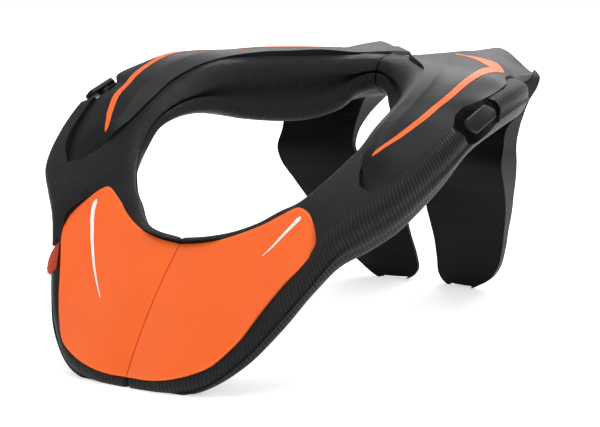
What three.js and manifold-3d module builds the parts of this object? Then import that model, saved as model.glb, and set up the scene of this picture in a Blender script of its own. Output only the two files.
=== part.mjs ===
// Motocross neck brace: a padded collar in two mirrored halves, hinged at the back.
// Millimetres, +Z up. The front faces -Y, the wearer's left is +X, and z = 0 is the surface it stands on.
import * as THREE from 'three';
import { mergeVertices } from 'three/addons/utils/BufferGeometryUtils.js';
import Module from 'manifold-3d';

const wasm = await Module();
wasm.setup();

// Overall sizes
const HALF_WIDTH = 128;
const FRONT_REACH = 162;
const REAR_REACH = 161;
const HEIGHT = 152;

// Gaps between pieces
const CLEARANCE = 0.3;
const SEAT_MARGIN = 0.5;
const SPLIT_GAP = 0.8;

// Padded roll
const WALL_GROOVE = 5;
const ROLL_RADIUS = 9;
const END_ROUNDING = 0.03;

// Hard deck, front plate and stripe
const DECK_THICKNESS = 4;
const PLATE_THICKNESS = 3.5;
const PLATE_BULGE = 3;
const STRIPE_THICKNESS = 1.5;
const STRIPE_PROUD = 0.3;

// Strap hook
const HOOK_CAP_LENGTH = 28;
const HOOK_CAP_WIDTH = 9;
const HOOK_CAP_THICKNESS = 3;
const HOOK_STEM_DIAMETER = 6;
const HOOK_STEM_LENGTH = 13;
const HOOK_PITCH_DEGREES = 17;
const HOOK_LEAN_DEGREES = 52;
const SCOOP_LENGTH = 40;
const SCOOP_WIDTH = 25;
const SCOOP_DEPTH = 8;

// Wing
const PAD_THICKNESS = 6;
const PAD_EDGE_THICKNESS = 1.2;
const PAD_CROWN = 1.5;
const PAD_INSET = 1.2;
const PAD_FOOT = 1.5;

// Rear hinge
const PIN_DIAMETER = 5;
const PIN_CLEARANCE = 0.1;
const KNUCKLE_DIAMETER = 11;
const KNUCKLE_HEIGHT = 6.8;
const LEAF_THICKNESS = 3;
const LEAF_DEPTH = 14;
const WEB_THICKNESS = 5;

// Release tab
const TAB_LENGTH = 20;
const TAB_THICKNESS = 4;
const TAB_HEAD_RADIUS = 3.5;
const TAB_INNER_DEGREES = -14;
const TAB_OUTER_DEGREES = 2;
const TAB_SLOT_DEGREES = 75;
const TAB_BULGE = 3;

const ORANGE = '#f4642f';
const CHARCOAL = '#2d2d30';
const WOVEN_BLACK = '#1f2022';
const PAD_BLACK = '#17181b';
const SHELL_GREY = '#343437';
const TAB_RED = '#b3401f';

// Places in the tables are shares: x of the half width, y of the front or rear reach, z of the height.
// The roll runs from the front split round the shoulder to the rear split, one section a row:
// lip is the inner top corner, brow the outer top, rim the outer bottom and root the inner bottom.
const ROLL_SECTIONS = [
  { lip: [0.000, -0.685, 0.470], brow: [0.000, -1.000, 0.007],
    rim: [0.000, -0.926, -0.033], root: [0.000, -0.623, 0.368] },
  { lip: [0.125, -0.688, 0.487], brow: [0.168, -0.997, 0.020],
    rim: [0.148, -0.926, -0.033], root: [0.117, -0.623, 0.375] },
  { lip: [0.219, -0.648, 0.507], brow: [0.336, -0.969, 0.056],
    rim: [0.305, -0.914, -0.007], root: [0.203, -0.599, 0.388] },
  { lip: [0.297, -0.593, 0.539], brow: [0.469, -0.892, 0.164],
    rim: [0.465, -0.864, 0.079], root: [0.281, -0.562, 0.408] },
  { lip: [0.359, -0.543, 0.579], brow: [0.566, -0.812, 0.296],
    rim: [0.566, -0.778, 0.188], root: [0.352, -0.512, 0.441] },
  { lip: [0.414, -0.500, 0.609], brow: [0.645, -0.735, 0.401],
    rim: [0.641, -0.691, 0.306], root: [0.438, -0.463, 0.493] },
  { lip: [0.469, -0.438, 0.664], brow: [0.707, -0.682, 0.503],
    rim: [0.711, -0.611, 0.388], root: [0.500, -0.407, 0.546] },
  { lip: [0.516, -0.383, 0.717], brow: [0.801, -0.617, 0.572],
    rim: [0.777, -0.531, 0.431], root: [0.531, -0.333, 0.618] },
  { lip: [0.555, -0.321, 0.770], brow: [0.891, -0.543, 0.635],
    rim: [0.859, -0.457, 0.493], root: [0.531, -0.278, 0.684] },
  { lip: [0.562, -0.235, 0.826], brow: [0.977, -0.364, 0.757],
    rim: [0.930, -0.309, 0.612], root: [0.523, -0.216, 0.750] },
  { lip: [0.562, -0.123, 0.885], brow: [1.012, -0.204, 0.849],
    rim: [0.949, -0.154, 0.717], root: [0.492, -0.099, 0.783] },
  { lip: [0.539, -0.012, 0.934], brow: [1.012, -0.031, 0.914],
    rim: [0.961, 0.031, 0.776], root: [0.438, 0.025, 0.776] },
  { lip: [0.477, 0.106, 0.974], brow: [0.992, 0.137, 0.941],
    rim: [0.938, 0.199, 0.803], root: [0.367, 0.143, 0.737] },
  { lip: [0.391, 0.224, 0.987], brow: [0.930, 0.311, 0.941],
    rim: [0.852, 0.385, 0.796], root: [0.266, 0.273, 0.717] },
  { lip: [0.289, 0.342, 0.990], brow: [0.820, 0.491, 0.921],
    rim: [0.719, 0.553, 0.770], root: [0.180, 0.373, 0.724] },
  { lip: [0.188, 0.447, 0.987], brow: [0.641, 0.646, 0.911],
    rim: [0.539, 0.658, 0.750], root: [0.102, 0.453, 0.763] },
  { lip: [0.078, 0.528, 0.980], brow: [0.297, 0.720, 0.941],
    rim: [0.242, 0.708, 0.776], root: [0.047, 0.497, 0.829] },
  { lip: [0.000, 0.553, 0.977], brow: [0.000, 0.727, 0.951],
    rim: [0.000, 0.714, 0.796], root: [0.000, 0.509, 0.855] },
];

// The hard deck from its front tip to its rear end, with the lines that its top follows across.
const DECK_ROWS = [
  { inner: [0.695, -0.478, 0.655], ridge: [0.711, -0.488, 0.651],
    shoulder: [0.734, -0.500, 0.645], outer: [0.760, -0.512, 0.636] },
  { inner: [0.662, -0.438, 0.688], ridge: [0.703, -0.451, 0.684],
    shoulder: [0.766, -0.457, 0.682], outer: [0.825, -0.451, 0.673] },
  { inner: [0.634, -0.392, 0.745], ridge: [0.672, -0.380, 0.760],
    shoulder: [0.766, -0.383, 0.751], outer: [0.866, -0.385, 0.722] },
  { inner: [0.615, -0.315, 0.789], ridge: [0.662, -0.309, 0.809],
    shoulder: [0.773, -0.309, 0.803], outer: [0.891, -0.305, 0.779] },
  { inner: [0.609, -0.235, 0.836], ridge: [0.678, -0.235, 0.855],
    shoulder: [0.797, -0.228, 0.855], outer: [0.912, -0.212, 0.834] },
  { inner: [0.609, -0.160, 0.873], ridge: [0.688, -0.154, 0.897],
    shoulder: [0.797, -0.148, 0.893], outer: [0.882, -0.130, 0.883] },
  { inner: [0.609, -0.085, 0.910], ridge: [0.688, -0.090, 0.930],
    shoulder: [0.820, -0.080, 0.924], outer: [0.935, -0.065, 0.912] },
  { inner: [0.588, 0.012, 0.946], ridge: [0.672, 0.010, 0.968],
    shoulder: [0.828, 0.031, 0.963], outer: [0.945, 0.050, 0.936] },
  { inner: [0.560, 0.085, 0.967], ridge: [0.648, 0.095, 0.988],
    shoulder: [0.828, 0.124, 0.983], outer: [0.930, 0.130, 0.952] },
  { inner: [0.500, 0.180, 0.986], ridge: [0.602, 0.193, 1.000],
    shoulder: [0.789, 0.224, 0.988], outer: [0.875, 0.211, 0.964] },
  { inner: [0.411, 0.267, 0.997], ridge: [0.539, 0.298, 1.000],
    shoulder: [0.727, 0.373, 0.982], outer: [0.805, 0.360, 0.958] },
  { inner: [0.325, 0.360, 0.997], ridge: [0.461, 0.410, 0.997],
    shoulder: [0.625, 0.491, 0.987], outer: [0.738, 0.503, 0.934] },
  { inner: [0.240, 0.453, 0.997], ridge: [0.352, 0.522, 0.992],
    shoulder: [0.484, 0.596, 0.987], outer: [0.672, 0.609, 0.920] },
  { inner: [0.148, 0.578, 0.980], ridge: [0.219, 0.646, 0.984],
    shoulder: [0.328, 0.696, 0.983], outer: [0.625, 0.708, 0.910] },
  { inner: [0.141, 0.733, 0.970], ridge: [0.203, 0.752, 0.978],
    shoulder: [0.328, 0.770, 0.980], outer: [0.598, 0.820, 0.901] },
  { inner: [0.141, 0.870, 0.961], ridge: [0.211, 0.870, 0.975],
    shoulder: [0.336, 0.888, 0.983], outer: [0.570, 0.919, 0.898] },
  { inner: [0.141, 0.981, 0.947], ridge: [0.219, 0.994, 0.967],
    shoulder: [0.340, 1.000, 0.984], outer: [0.516, 0.981, 0.895] },
];

// The front plate from the split outward.
const PLATE_ROWS = [
  { top: [0.000, -0.695, 0.438], bottom: [0.000, -0.985, 0.039] },
  { top: [0.094, -0.702, 0.449], bottom: [0.094, -0.994, 0.044] },
  { top: [0.188, -0.690, 0.467], bottom: [0.195, -0.990, 0.057] },
  { top: [0.273, -0.664, 0.493], bottom: [0.289, -0.969, 0.079] },
  { top: [0.352, -0.631, 0.524], bottom: [0.367, -0.942, 0.112] },
  { top: [0.414, -0.599, 0.557], bottom: [0.426, -0.899, 0.167] },
  { top: [0.477, -0.580, 0.584], bottom: [0.473, -0.855, 0.240] },
  { top: [0.523, -0.580, 0.571], bottom: [0.516, -0.806, 0.309] },
  { top: [0.562, -0.599, 0.543], bottom: [0.556, -0.762, 0.368] },
  { top: [0.598, -0.627, 0.509], bottom: [0.594, -0.722, 0.411] },
  { top: [0.620, -0.651, 0.480], bottom: [0.617, -0.688, 0.444] },
];

// The stripe follows the deck's rows.
// Its edges are counted across the deck: 0 inner, 1 ridge, 2 shoulder, 3 outer.
const STRIPE_ROWS = [
  { row: 1.8, from: 0.98, to: 1.02 },
  { row: 2, from: 1.06, to: 1.22 },
  { row: 2.5, from: 1.32, to: 1.54 },
  { row: 3, from: 1.54, to: 1.79 },
  { row: 4, from: 1.71, to: 1.98 },
  { row: 5, from: 1.83, to: 2.13 },
  { row: 6, from: 1.79, to: 2.05 },
  { row: 7, from: 1.77, to: 2.01 },
  { row: 8, from: 1.75, to: 2.04 },
  { row: 9, from: 1.82, to: 2.36 },
  { row: 9.5, from: 1.88, to: 2.68 },
  { row: 10, from: 1.74, to: 2.32 },
  { row: 11, from: 1.62, to: 2.16 },
  { row: 12, from: 1.66, to: 2.2 },
  { row: 13, from: 1.84, to: 2.0 },
];

// The wing's levels from tip to top: outer and inner edge of its front, and its depth behind them.
const WING_LEVELS = [
  { outer: [0.242, 0.910, -0.007], inner: [0.148, 0.925, -0.007], depths: [0.012, 0.025, 0.012] },
  { outer: [0.289, 0.907, 0.010], inner: [0.090, 0.935, 0.010], depths: [0.016, 0.037, 0.012] },
  { outer: [0.359, 0.910, 0.046], inner: [0.058, 0.938, 0.046], depths: [0.019, 0.050, 0.012] },
  { outer: [0.422, 0.882, 0.105], inner: [0.058, 0.925, 0.105], depths: [0.025, 0.062, 0.012] },
  { outer: [0.477, 0.832, 0.197], inner: [0.067, 0.888, 0.197], depths: [0.031, 0.078, 0.012] },
  { outer: [0.516, 0.783, 0.276], inner: [0.066, 0.854, 0.276], depths: [0.037, 0.090, 0.012] },
  { outer: [0.555, 0.733, 0.355], inner: [0.062, 0.829, 0.355], depths: [0.050, 0.106, 0.012] },
  { outer: [0.586, 0.680, 0.434], inner: [0.117, 0.801, 0.434], depths: [0.068, 0.124, 0.012] },
  { outer: [0.609, 0.627, 0.507], inner: [0.203, 0.739, 0.507], depths: [0.099, 0.143, 0.012] },
  { outer: [0.612, 0.602, 0.572], inner: [0.254, 0.705, 0.572], depths: [0.124, 0.161, 0.019] },
  { outer: [0.605, 0.627, 0.638], inner: [0.258, 0.711, 0.638], depths: [0.106, 0.168, 0.037] },
  { outer: [0.602, 0.649, 0.704], inner: [0.250, 0.733, 0.704], depths: [0.112, 0.186, 0.087] },
  { outer: [0.602, 0.745, 0.763], inner: [0.234, 0.752, 0.763], depths: [0.056, 0.174, 0.168] },
  { outer: [0.598, 0.752, 0.803], inner: [0.195, 0.752, 0.803], depths: [0.093, 0.193, 0.199] },
  { outer: [0.592, 0.752, 0.842], inner: [0.156, 0.752, 0.842], depths: [0.161, 0.224, 0.230] },
  { outer: [0.575, 0.752, 0.882], inner: [0.145, 0.752, 0.882], depths: [0.211, 0.236, 0.239] },
  { outer: [0.484, 0.752, 0.941], inner: [0.145, 0.752, 0.941], depths: [0.230, 0.239, 0.239] },
];
const PAD_TOP_LEVEL = 11;

const HOOK_PLACE = [0.968, -0.119, 0.852];
const HINGE_PLACE = [0, 0.800, 0.952];
const TAB_PLACE = [-0.620, -0.682, 0.386];
const TAB_ALONG = [0.02, -0.56, -0.83];
const TAB_OUT = [-1, 0, 0];

// Surroundings of the whole part, for trimming
const FAR = 4 * Math.max(HALF_WIDTH, FRONT_REACH, REAR_REACH, HEIGHT);

function place([x, y, z]) {
  const reach = y < 0 ? FRONT_REACH : REAR_REACH;
  return new THREE.Vector3(x * HALF_WIDTH, y * reach, z * HEIGHT);
}

function rad(degrees) {
  return THREE.MathUtils.degToRad(degrees);
}

function signedVolume(positions, index) {
  let volume = 0;
  const corner = [new THREE.Vector3(), new THREE.Vector3(), new THREE.Vector3()];
  for (let i = 0; i < index.length; i += 3) {
    corner.forEach((point, k) => point.fromArray(positions, 3 * index[i + k]));
    volume += corner[0].dot(corner[1].clone().cross(corner[2])) / 6;
  }
  return volume;
}

// A geometry as a manifold solid whose faces point out, whichever way round it was made.
function toSolid(geometry) {
  const bare = geometry.clone();
  bare.deleteAttribute('normal');
  bare.deleteAttribute('uv');
  const merged = mergeVertices(bare, 1e-4);
  const positions = merged.attributes.position.array;
  const index = [...merged.index.array];
  if (signedVolume(positions, index) < 0) {
    index.reverse();
  }
  return new wasm.Manifold(new wasm.Mesh({
    numProp: 3,
    vertProperties: new Float32Array(positions),
    triVerts: new Uint32Array(index),
  }));
}

function toGeometry(solid, mirrored) {
  const mesh = solid.getMesh();
  const geometry = new THREE.BufferGeometry();
  geometry.setAttribute('position', new THREE.BufferAttribute(new Float32Array(mesh.vertProperties), 3));
  const index = [...mesh.triVerts];
  if (mirrored) {
    geometry.scale(-1, 1, 1);
    index.reverse();
  }
  geometry.setIndex(index);
  geometry.computeVertexNormals();
  return geometry;
}

function boxSolid(low, high) {
  const size = high.clone().sub(low);
  const geometry = new THREE.BoxGeometry(size.x, size.y, size.z);
  const middle = low.clone().add(high).multiplyScalar(0.5);
  geometry.translate(middle.x, middle.y, middle.z);
  return toSolid(geometry);
}

// The half that keeps clear of the split and stands on the ground.
function trimmed(solid, ground = 0) {
  const farCorner = new THREE.Vector3(-FAR, -FAR, -FAR);
  const beyondSplit = boxSolid(farCorner, new THREE.Vector3(SPLIT_GAP / 2, FAR, FAR));
  const belowGround = boxSolid(farCorner, new THREE.Vector3(FAR, FAR, ground));
  return solid.subtract(beyondSplit).subtract(belowGround);
}

// The largest piece of a cut solid; slivers that the cut leaves loose are dropped.
function mainPiece(solid) {
  const pieces = solid.decompose();
  return pieces.reduce((best, piece) => (piece.volume() > best.volume() ? piece : best));
}

// Triangles of a flat end, cut in the plane that fits its ring best.
function capTriangles(ring) {
  const centre = new THREE.Vector3();
  ring.forEach((point) => centre.addScaledVector(point, 1 / ring.length));
  const normal = new THREE.Vector3();
  ring.forEach((point, i) => {
    const next = ring[(i + 1) % ring.length].clone().sub(centre);
    normal.add(point.clone().sub(centre).cross(next));
  });
  normal.normalize();
  const across = ring[0].clone().sub(centre).projectOnPlane(normal).normalize();
  const up = normal.clone().cross(across);
  const outline = ring.map((point) => {
    const offset = point.clone().sub(centre);
    return new THREE.Vector2(offset.dot(across), offset.dot(up));
  });
  return THREE.ShapeUtils.triangulateShape(outline, []);
}

// A closed solid through rings that all have the same number of points.
function loft(rings) {
  const count = rings[0].length;
  const last = (rings.length - 1) * count;
  const positions = rings.flat().flatMap((point) => point.toArray());
  const index = [];
  for (let start = 0; start < last; start += count) {
    for (let j = 0; j < count; j += 1) {
      const a = start + j;
      const b = start + (j + 1) % count;
      index.push(a, b, b + count, a, b + count, a + count);
    }
  }
  capTriangles(rings[0]).forEach(([a, b, c]) => index.push(a, c, b));
  capTriangles(rings[rings.length - 1]).forEach(([a, b, c]) => index.push(last + a, last + b, last + c));
  const geometry = new THREE.BufferGeometry();
  geometry.setAttribute('position', new THREE.Float32BufferAttribute(positions, 3));
  geometry.setIndex(index);
  return toSolid(geometry);
}

// One smooth curve for each column of a table, read at a row number with a fraction.
function railsOf(rows, columns) {
  const last = rows.length - 1;
  const curves = columns.map((column) => new THREE.CatmullRomCurve3(rows.map((row) => place(row[column]))));
  return (row) => curves.map((curve) => curve.getPoint(THREE.MathUtils.clamp(row / last, 0, 1)));
}

function rowNumbers(first, last, steps) {
  return Array.from({ length: steps + 1 }, (_, i) => first + (last - first) * i / steps);
}

// A four-cornered section with rounded corners, and a groove half way up its inner wall.
function roundedSection([lip, brow, rim, root], groove) {
  const corners = [lip, brow, rim, root];
  const ring = [];
  corners.forEach((corner, i) => {
    const before = corners[(i + 3) % 4];
    const after = corners[(i + 1) % 4];
    const radius = Math.min(ROLL_RADIUS, corner.distanceTo(before) / 2.5, corner.distanceTo(after) / 2.5);
    const start = corner.clone().add(before.clone().sub(corner).setLength(radius));
    const end = corner.clone().add(after.clone().sub(corner).setLength(radius));
    ring.push(...new THREE.QuadraticBezierCurve3(start, corner, end).getPoints(3));
  });
  const outward = brow.clone().sub(lip).normalize();
  ring.push(root.clone().lerp(lip, 0.5).addScaledVector(outward, groove));
  return ring;
}

function shrunk(ring, share) {
  const centre = new THREE.Vector3();
  ring.forEach((point) => centre.addScaledVector(point, 1 / ring.length));
  return ring.map((point) => point.clone().lerp(centre, share));
}

function rollBody() {
  const sectionAt = railsOf(ROLL_SECTIONS, ['lip', 'brow', 'rim', 'root']);
  const last = ROLL_SECTIONS.length - 1;
  const rings = rowNumbers(0, last, Math.round(1.5 * last)).map((row) => {
    const groove = WALL_GROOVE * THREE.MathUtils.smoothstep(row, last * 0.3, last * 0.6);
    return roundedSection(sectionAt(row), groove);
  });
  rings[0] = shrunk(rings[0], END_ROUNDING);
  rings[rings.length - 1] = shrunk(rings[rings.length - 1], END_ROUNDING);
  return loft(rings);
}

// A sheet over a grid of points, from above its surface to below it, and grown past its edges.
function sheet(grid, above, below, grow = 0) {
  const rows = grid.length;
  const columns = grid[0].length;
  const { clamp } = THREE.MathUtils;
  const at = (i, j) => grid[clamp(i, 0, rows - 1)][clamp(j, 0, columns - 1)];
  const rings = grid.map((line, i) => {
    const tops = [];
    const bottoms = [];
    line.forEach((point, j) => {
      const along = at(i + 1, j).clone().sub(at(i - 1, j)).normalize();
      const across = at(i, j + 1).clone().sub(at(i, j - 1)).normalize();
      const normal = across.clone().cross(along).normalize();
      const alongEdge = (i === rows - 1) - (i === 0);
      const acrossEdge = (j === columns - 1) - (j === 0);
      const edge = point.clone();
      edge.addScaledVector(along, grow * alongEdge).addScaledVector(across, grow * acrossEdge);
      const lift = normal.multiplyScalar(Math.sign(normal.z) || 1);
      tops.push(edge.clone().addScaledVector(lift, above));
      bottoms.unshift(edge.clone().addScaledVector(lift, -below));
    });
    return [...tops, ...bottoms];
  });
  return loft(rings);
}

// The room that a sheet of this thickness needs, open above.
function seatFor(grid, thickness) {
  const pocket = sheet(grid, 0, thickness + CLEARANCE, SEAT_MARGIN);
  return pocket.add(sheet(grid, 3 * thickness, thickness / 2, SEAT_MARGIN));
}

// A point of the deck's top: the row number along it, and 0 to 3 across its four lines.
const deckRails = railsOf(DECK_ROWS, ['inner', 'ridge', 'shoulder', 'outer']);

function deckPoint(row, across) {
  return new THREE.CatmullRomCurve3(deckRails(row)).getPoint(across / 3);
}

function deckGrid() {
  const last = DECK_ROWS.length - 1;
  const rows = rowNumbers(0, last, Math.round(1.3 * last));
  return rows.map((row) => rowNumbers(0, 3, 4).map((across) => deckPoint(row, across)));
}

function stripeGrid() {
  const last = STRIPE_ROWS.length - 1;
  return rowNumbers(0, last, last).map((step) => {
    const low = STRIPE_ROWS[Math.floor(step)];
    const high = STRIPE_ROWS[Math.ceil(step)];
    const part = step - Math.floor(step);
    const mix = (name) => THREE.MathUtils.lerp(low[name], high[name], part);
    return rowNumbers(mix('from'), mix('to'), 2).map((across) => deckPoint(mix('row'), across));
  });
}

function plateGrid() {
  const edges = railsOf(PLATE_ROWS, ['top', 'bottom']);
  const last = PLATE_ROWS.length - 1;
  return rowNumbers(0, last, Math.round(1.6 * last)).map((row) => {
    const [top, bottom] = edges(row);
    const forward = new THREE.Vector3(0, -1, 0.74).normalize();
    return rowNumbers(0, 1, 4).map((down) => {
      const bulge = PLATE_BULGE * 4 * down * (1 - down) * (1 - row / last);
      return top.clone().lerp(bottom, down).addScaledVector(forward, bulge);
    });
  });
}

// The wing read at a level number with a fraction.
const wingEdges = railsOf(WING_LEVELS, ['outer', 'inner']);
const wingDepthRows = WING_LEVELS.map(({ depths }) => new THREE.Vector3(...depths));
const wingDepths = new THREE.CatmullRomCurve3(wingDepthRows);

function wingLevel(level) {
  const [outer, inner] = wingEdges(level);
  const depths = wingDepths.getPoint(level / (WING_LEVELS.length - 1)).multiplyScalar(REAR_REACH);
  return { outer, inner, depths };
}

// The section at one level between a front and a back, both given for a share from outer to inner edge.
function wingSection({ outer, inner, depths }, frontAt, backAt, inset) {
  const margin = inset / outer.distanceTo(inner);
  const shares = rowNumbers(margin, 1 - margin, 5);
  const pointAt = (share, y) => outer.clone().lerp(inner, share).add(new THREE.Vector3(0, y, 0));
  const front = shares.map((share) => pointAt(share, frontAt(share)));
  const back = shares.map((share) => pointAt(share, backAt(share, depths)));
  return [...front, ...back.reverse()];
}

// The depth behind the front, on a parabola through its outer, middle and inner values.
function wingDepth(share, depths) {
  const outerPart = depths.x * (1 - share) * (1 - 2 * share);
  const middlePart = 4 * depths.y * share * (1 - share);
  return outerPart + middlePart + depths.z * share * (2 * share - 1);
}

function wingCrown(share) {
  return -PAD_CROWN * Math.sin(Math.PI * share);
}

function wingBody() {
  const last = WING_LEVELS.length - 1;
  const levels = rowNumbers(0, last, Math.round(1.2 * last));
  return loft(levels.map((level) => wingSection(wingLevel(level), wingCrown, wingDepth, 0)));
}

// The pad is thickest in the middle. Its seat reaches further forward and is grown on every other side.
function padBody(forward, grow) {
  const front = (share) => wingCrown(share) - forward;
  const swell = PAD_THICKNESS - PAD_EDGE_THICKNESS;
  const back = (share) => PAD_EDGE_THICKNESS + swell * Math.sin(Math.PI * share) + grow;
  const levels = rowNumbers(0, PAD_TOP_LEVEL, Math.round(1.2 * PAD_TOP_LEVEL));
  return loft(levels.map((level) => wingSection(wingLevel(level), front, back, PAD_INSET - grow)));
}

function cylinderAlongZ(radius, low, high, x = 0, y = 0, sides = 24) {
  const geometry = new THREE.CylinderGeometry(radius, radius, high - low, sides);
  geometry.rotateX(Math.PI / 2);
  geometry.translate(x, y, (low + high) / 2);
  return toSolid(geometry);
}

// Where the strap hook stands: its own z axis points out of the shoulder, its y axis along the cap.
function hookFrame() {
  const turn = new THREE.Matrix4().makeRotationX(rad(HOOK_PITCH_DEGREES));
  turn.multiply(new THREE.Matrix4().makeRotationY(rad(HOOK_LEAN_DEGREES)));
  return new THREE.Matrix4().setPosition(place(HOOK_PLACE)).multiply(turn);
}

function roundEndedShape(length, width) {
  const shape = new THREE.Shape();
  const straight = (length - width) / 2;
  shape.absarc(0, straight, width / 2, 0, Math.PI, false);
  shape.absarc(0, -straight, width / 2, Math.PI, 2 * Math.PI, false);
  return shape;
}

function hookBody() {
  const bevel = HOOK_CAP_THICKNESS / 3;
  const outline = roundEndedShape(HOOK_CAP_LENGTH - 2 * bevel, HOOK_CAP_WIDTH - 2 * bevel);
  const cap = new THREE.ExtrudeGeometry(outline, {
    depth: HOOK_CAP_THICKNESS - 2 * bevel,
    bevelThickness: bevel,
    bevelSize: bevel,
    bevelSegments: 1,
    curveSegments: 6,
  });
  cap.translate(0, 0, bevel);
  const stem = cylinderAlongZ(HOOK_STEM_DIAMETER / 2, -HOOK_STEM_LENGTH, HOOK_CAP_THICKNESS / 2, 0, 0, 12);
  return moved(toSolid(cap).add(stem), hookFrame());
}

function moved(solid, matrix) {
  const geometry = toGeometry(solid, false);
  geometry.applyMatrix4(matrix);
  return toSolid(geometry);
}

function hookSeat() {
  const scoop = new THREE.SphereGeometry(0.5, 14, 8);
  scoop.scale(SCOOP_WIDTH, SCOOP_LENGTH, 2 * SCOOP_DEPTH);
  const holeRadius = HOOK_STEM_DIAMETER / 2 + CLEARANCE;
  const hole = cylinderAlongZ(holeRadius, -HOOK_STEM_LENGTH - CLEARANCE, 0, 0, 0, 12);
  return moved(toSolid(scoop).add(hole), hookFrame());
}

// The left leaf carries the outer knuckles and the pin, the right leaf the knuckle between them.
function hingeLevels() {
  const top = place(HINGE_PLACE).z;
  const pitch = KNUCKLE_HEIGHT + CLEARANCE;
  return [2, 1, 0].map((step) => top - step * pitch - KNUCKLE_HEIGHT);
}

function knuckle(low) {
  const { y } = place(HINGE_PLACE);
  const leafSide = wingInnerWall() - CLEARANCE - LEAF_THICKNESS / 2;
  const barrel = cylinderAlongZ(KNUCKLE_DIAMETER / 2, low, low + KNUCKLE_HEIGHT, 0, y);
  const web = boxSolid(
    new THREE.Vector3(0, y - WEB_THICKNESS / 2, low),
    new THREE.Vector3(leafSide, y + WEB_THICKNESS / 2, low + KNUCKLE_HEIGHT),
  );
  return barrel.add(web);
}

function wingInnerWall() {
  return WING_LEVELS[WING_LEVELS.length - 1].inner[0] * HALF_WIDTH;
}

function hingeLeaf() {
  const { y } = place(HINGE_PLACE);
  const levels = hingeLevels();
  const wall = wingInnerWall() - CLEARANCE;
  return boxSolid(
    new THREE.Vector3(wall - LEAF_THICKNESS, y - LEAF_DEPTH / 2, levels[0]),
    new THREE.Vector3(wall, y + LEAF_DEPTH / 2, levels[2] + KNUCKLE_HEIGHT),
  );
}

function pinSolid(radius, sides = 24) {
  const { y } = place(HINGE_PLACE);
  const levels = hingeLevels();
  return cylinderAlongZ(radius, levels[0], levels[2] + KNUCKLE_HEIGHT, 0, y, sides);
}

function leftHinge() {
  const levels = hingeLevels();
  return hingeLeaf().add(knuckle(levels[0])).add(knuckle(levels[2])).add(pinSolid(PIN_DIAMETER / 2));
}

// Made on the left side as its mirror image; the bore's flats clear the pin.
function rightHinge() {
  const levels = hingeLevels();
  const sides = 24;
  const bore = (PIN_DIAMETER / 2 + PIN_CLEARANCE) / Math.cos(Math.PI / sides);
  return hingeLeaf().add(knuckle(levels[1])).subtract(pinSolid(bore, sides));
}

// The tab's own x axis points out of the roll's side, its y axis down the plate's edge, from its pivot.
function tabFrame() {
  const along = new THREE.Vector3(...TAB_ALONG).normalize();
  const out = new THREE.Vector3(...TAB_OUT).projectOnPlane(along).normalize();
  const normal = out.clone().cross(along);
  return new THREE.Matrix4().makeBasis(out, along, normal).setPosition(place(TAB_PLACE));
}

// A round head at the pivot with a blade between two angles, measured outward from the y axis.
function tabPlate(length, radius, thickness, fromDegrees, toDegrees, inward, bulge) {
  const blade = new THREE.Shape();
  const first = Math.PI / 2 - rad(fromDegrees);
  const last = Math.PI / 2 - rad(toDegrees);
  blade.moveTo(-inward, 0);
  blade.lineTo(-inward + length * Math.cos(first), length * Math.sin(first));
  blade.absarc(-inward, 0, length, first, last, true);
  blade.quadraticCurveTo(2 * bulge, length / 2, -inward, 0);
  const head = new THREE.Shape();
  head.absarc(0, 0, radius, 0, 2 * Math.PI, false);
  const [bladeSolid, headSolid] = [blade, head].map((shape) => {
    const options = { depth: thickness, bevelEnabled: false, curveSegments: 6 };
    const geometry = new THREE.ExtrudeGeometry(shape, options);
    geometry.translate(0, 0, -thickness / 2);
    return toSolid(geometry);
  });
  return moved(bladeSolid.add(headSolid), tabFrame());
}

function tabBody() {
  const outer = TAB_OUTER_DEGREES;
  return tabPlate(TAB_LENGTH, TAB_HEAD_RADIUS, TAB_THICKNESS, TAB_INNER_DEGREES, outer, 0, TAB_BULGE);
}

// The slot stays open outward, so that the tab can swing out about its head.
function tabSlot() {
  const length = TAB_LENGTH + 2 * CLEARANCE;
  const thickness = TAB_THICKNESS + 2 * CLEARANCE;
  const radius = TAB_HEAD_RADIUS + CLEARANCE;
  const outer = TAB_OUTER_DEGREES + TAB_SLOT_DEGREES;
  const bulge = 3 * TAB_BULGE;
  return tabPlate(length, radius, thickness, TAB_INNER_DEGREES, outer, CLEARANCE, bulge);
}

function material(color, roughness) {
  return new THREE.MeshStandardMaterial({ color, roughness, metalness: 0 });
}

const materials = {
  roll: material(WOVEN_BLACK, 0.85),
  plate: material(ORANGE, 0.45),
  deck: material(CHARCOAL, 0.55),
  stripe: material(ORANGE, 0.45),
  hook: material(CHARCOAL, 0.5),
  shell: material(SHELL_GREY, 0.55),
  pad: material(PAD_BLACK, 0.9),
  hinge: material(SHELL_GREY, 0.5),
  tab: material(TAB_RED, 0.45),
};

const brace = new THREE.Group();

function addMesh(name, solid, look, mirrored) {
  const mesh = new THREE.Mesh(toGeometry(solid, mirrored), look);
  mesh.name = name;
  brace.add(mesh);
}

const deckSeat = seatFor(deckGrid(), DECK_THICKNESS);
const plateSeat = seatFor(plateGrid(), PLATE_THICKNESS);
const stripeSeat = sheet(stripeGrid(), STRIPE_THICKNESS, STRIPE_THICKNESS + CLEARANCE, CLEARANCE);
const roll = mainPiece(trimmed(rollBody().subtract(deckSeat).subtract(plateSeat).subtract(hookSeat())));
const plate = trimmed(sheet(plateGrid(), 0, PLATE_THICKNESS));
const deck = sheet(deckGrid(), 0, DECK_THICKNESS).subtract(stripeSeat);
const stripe = sheet(stripeGrid(), STRIPE_PROUD, STRIPE_THICKNESS);
const shell = mainPiece(trimmed(wingBody().subtract(deckSeat).subtract(padBody(PAD_THICKNESS, CLEARANCE))));
const pad = trimmed(padBody(0, 0), PAD_FOOT);
const tabSeat = moved(tabSlot(), new THREE.Matrix4().makeScale(-1, 1, 1));

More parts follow.
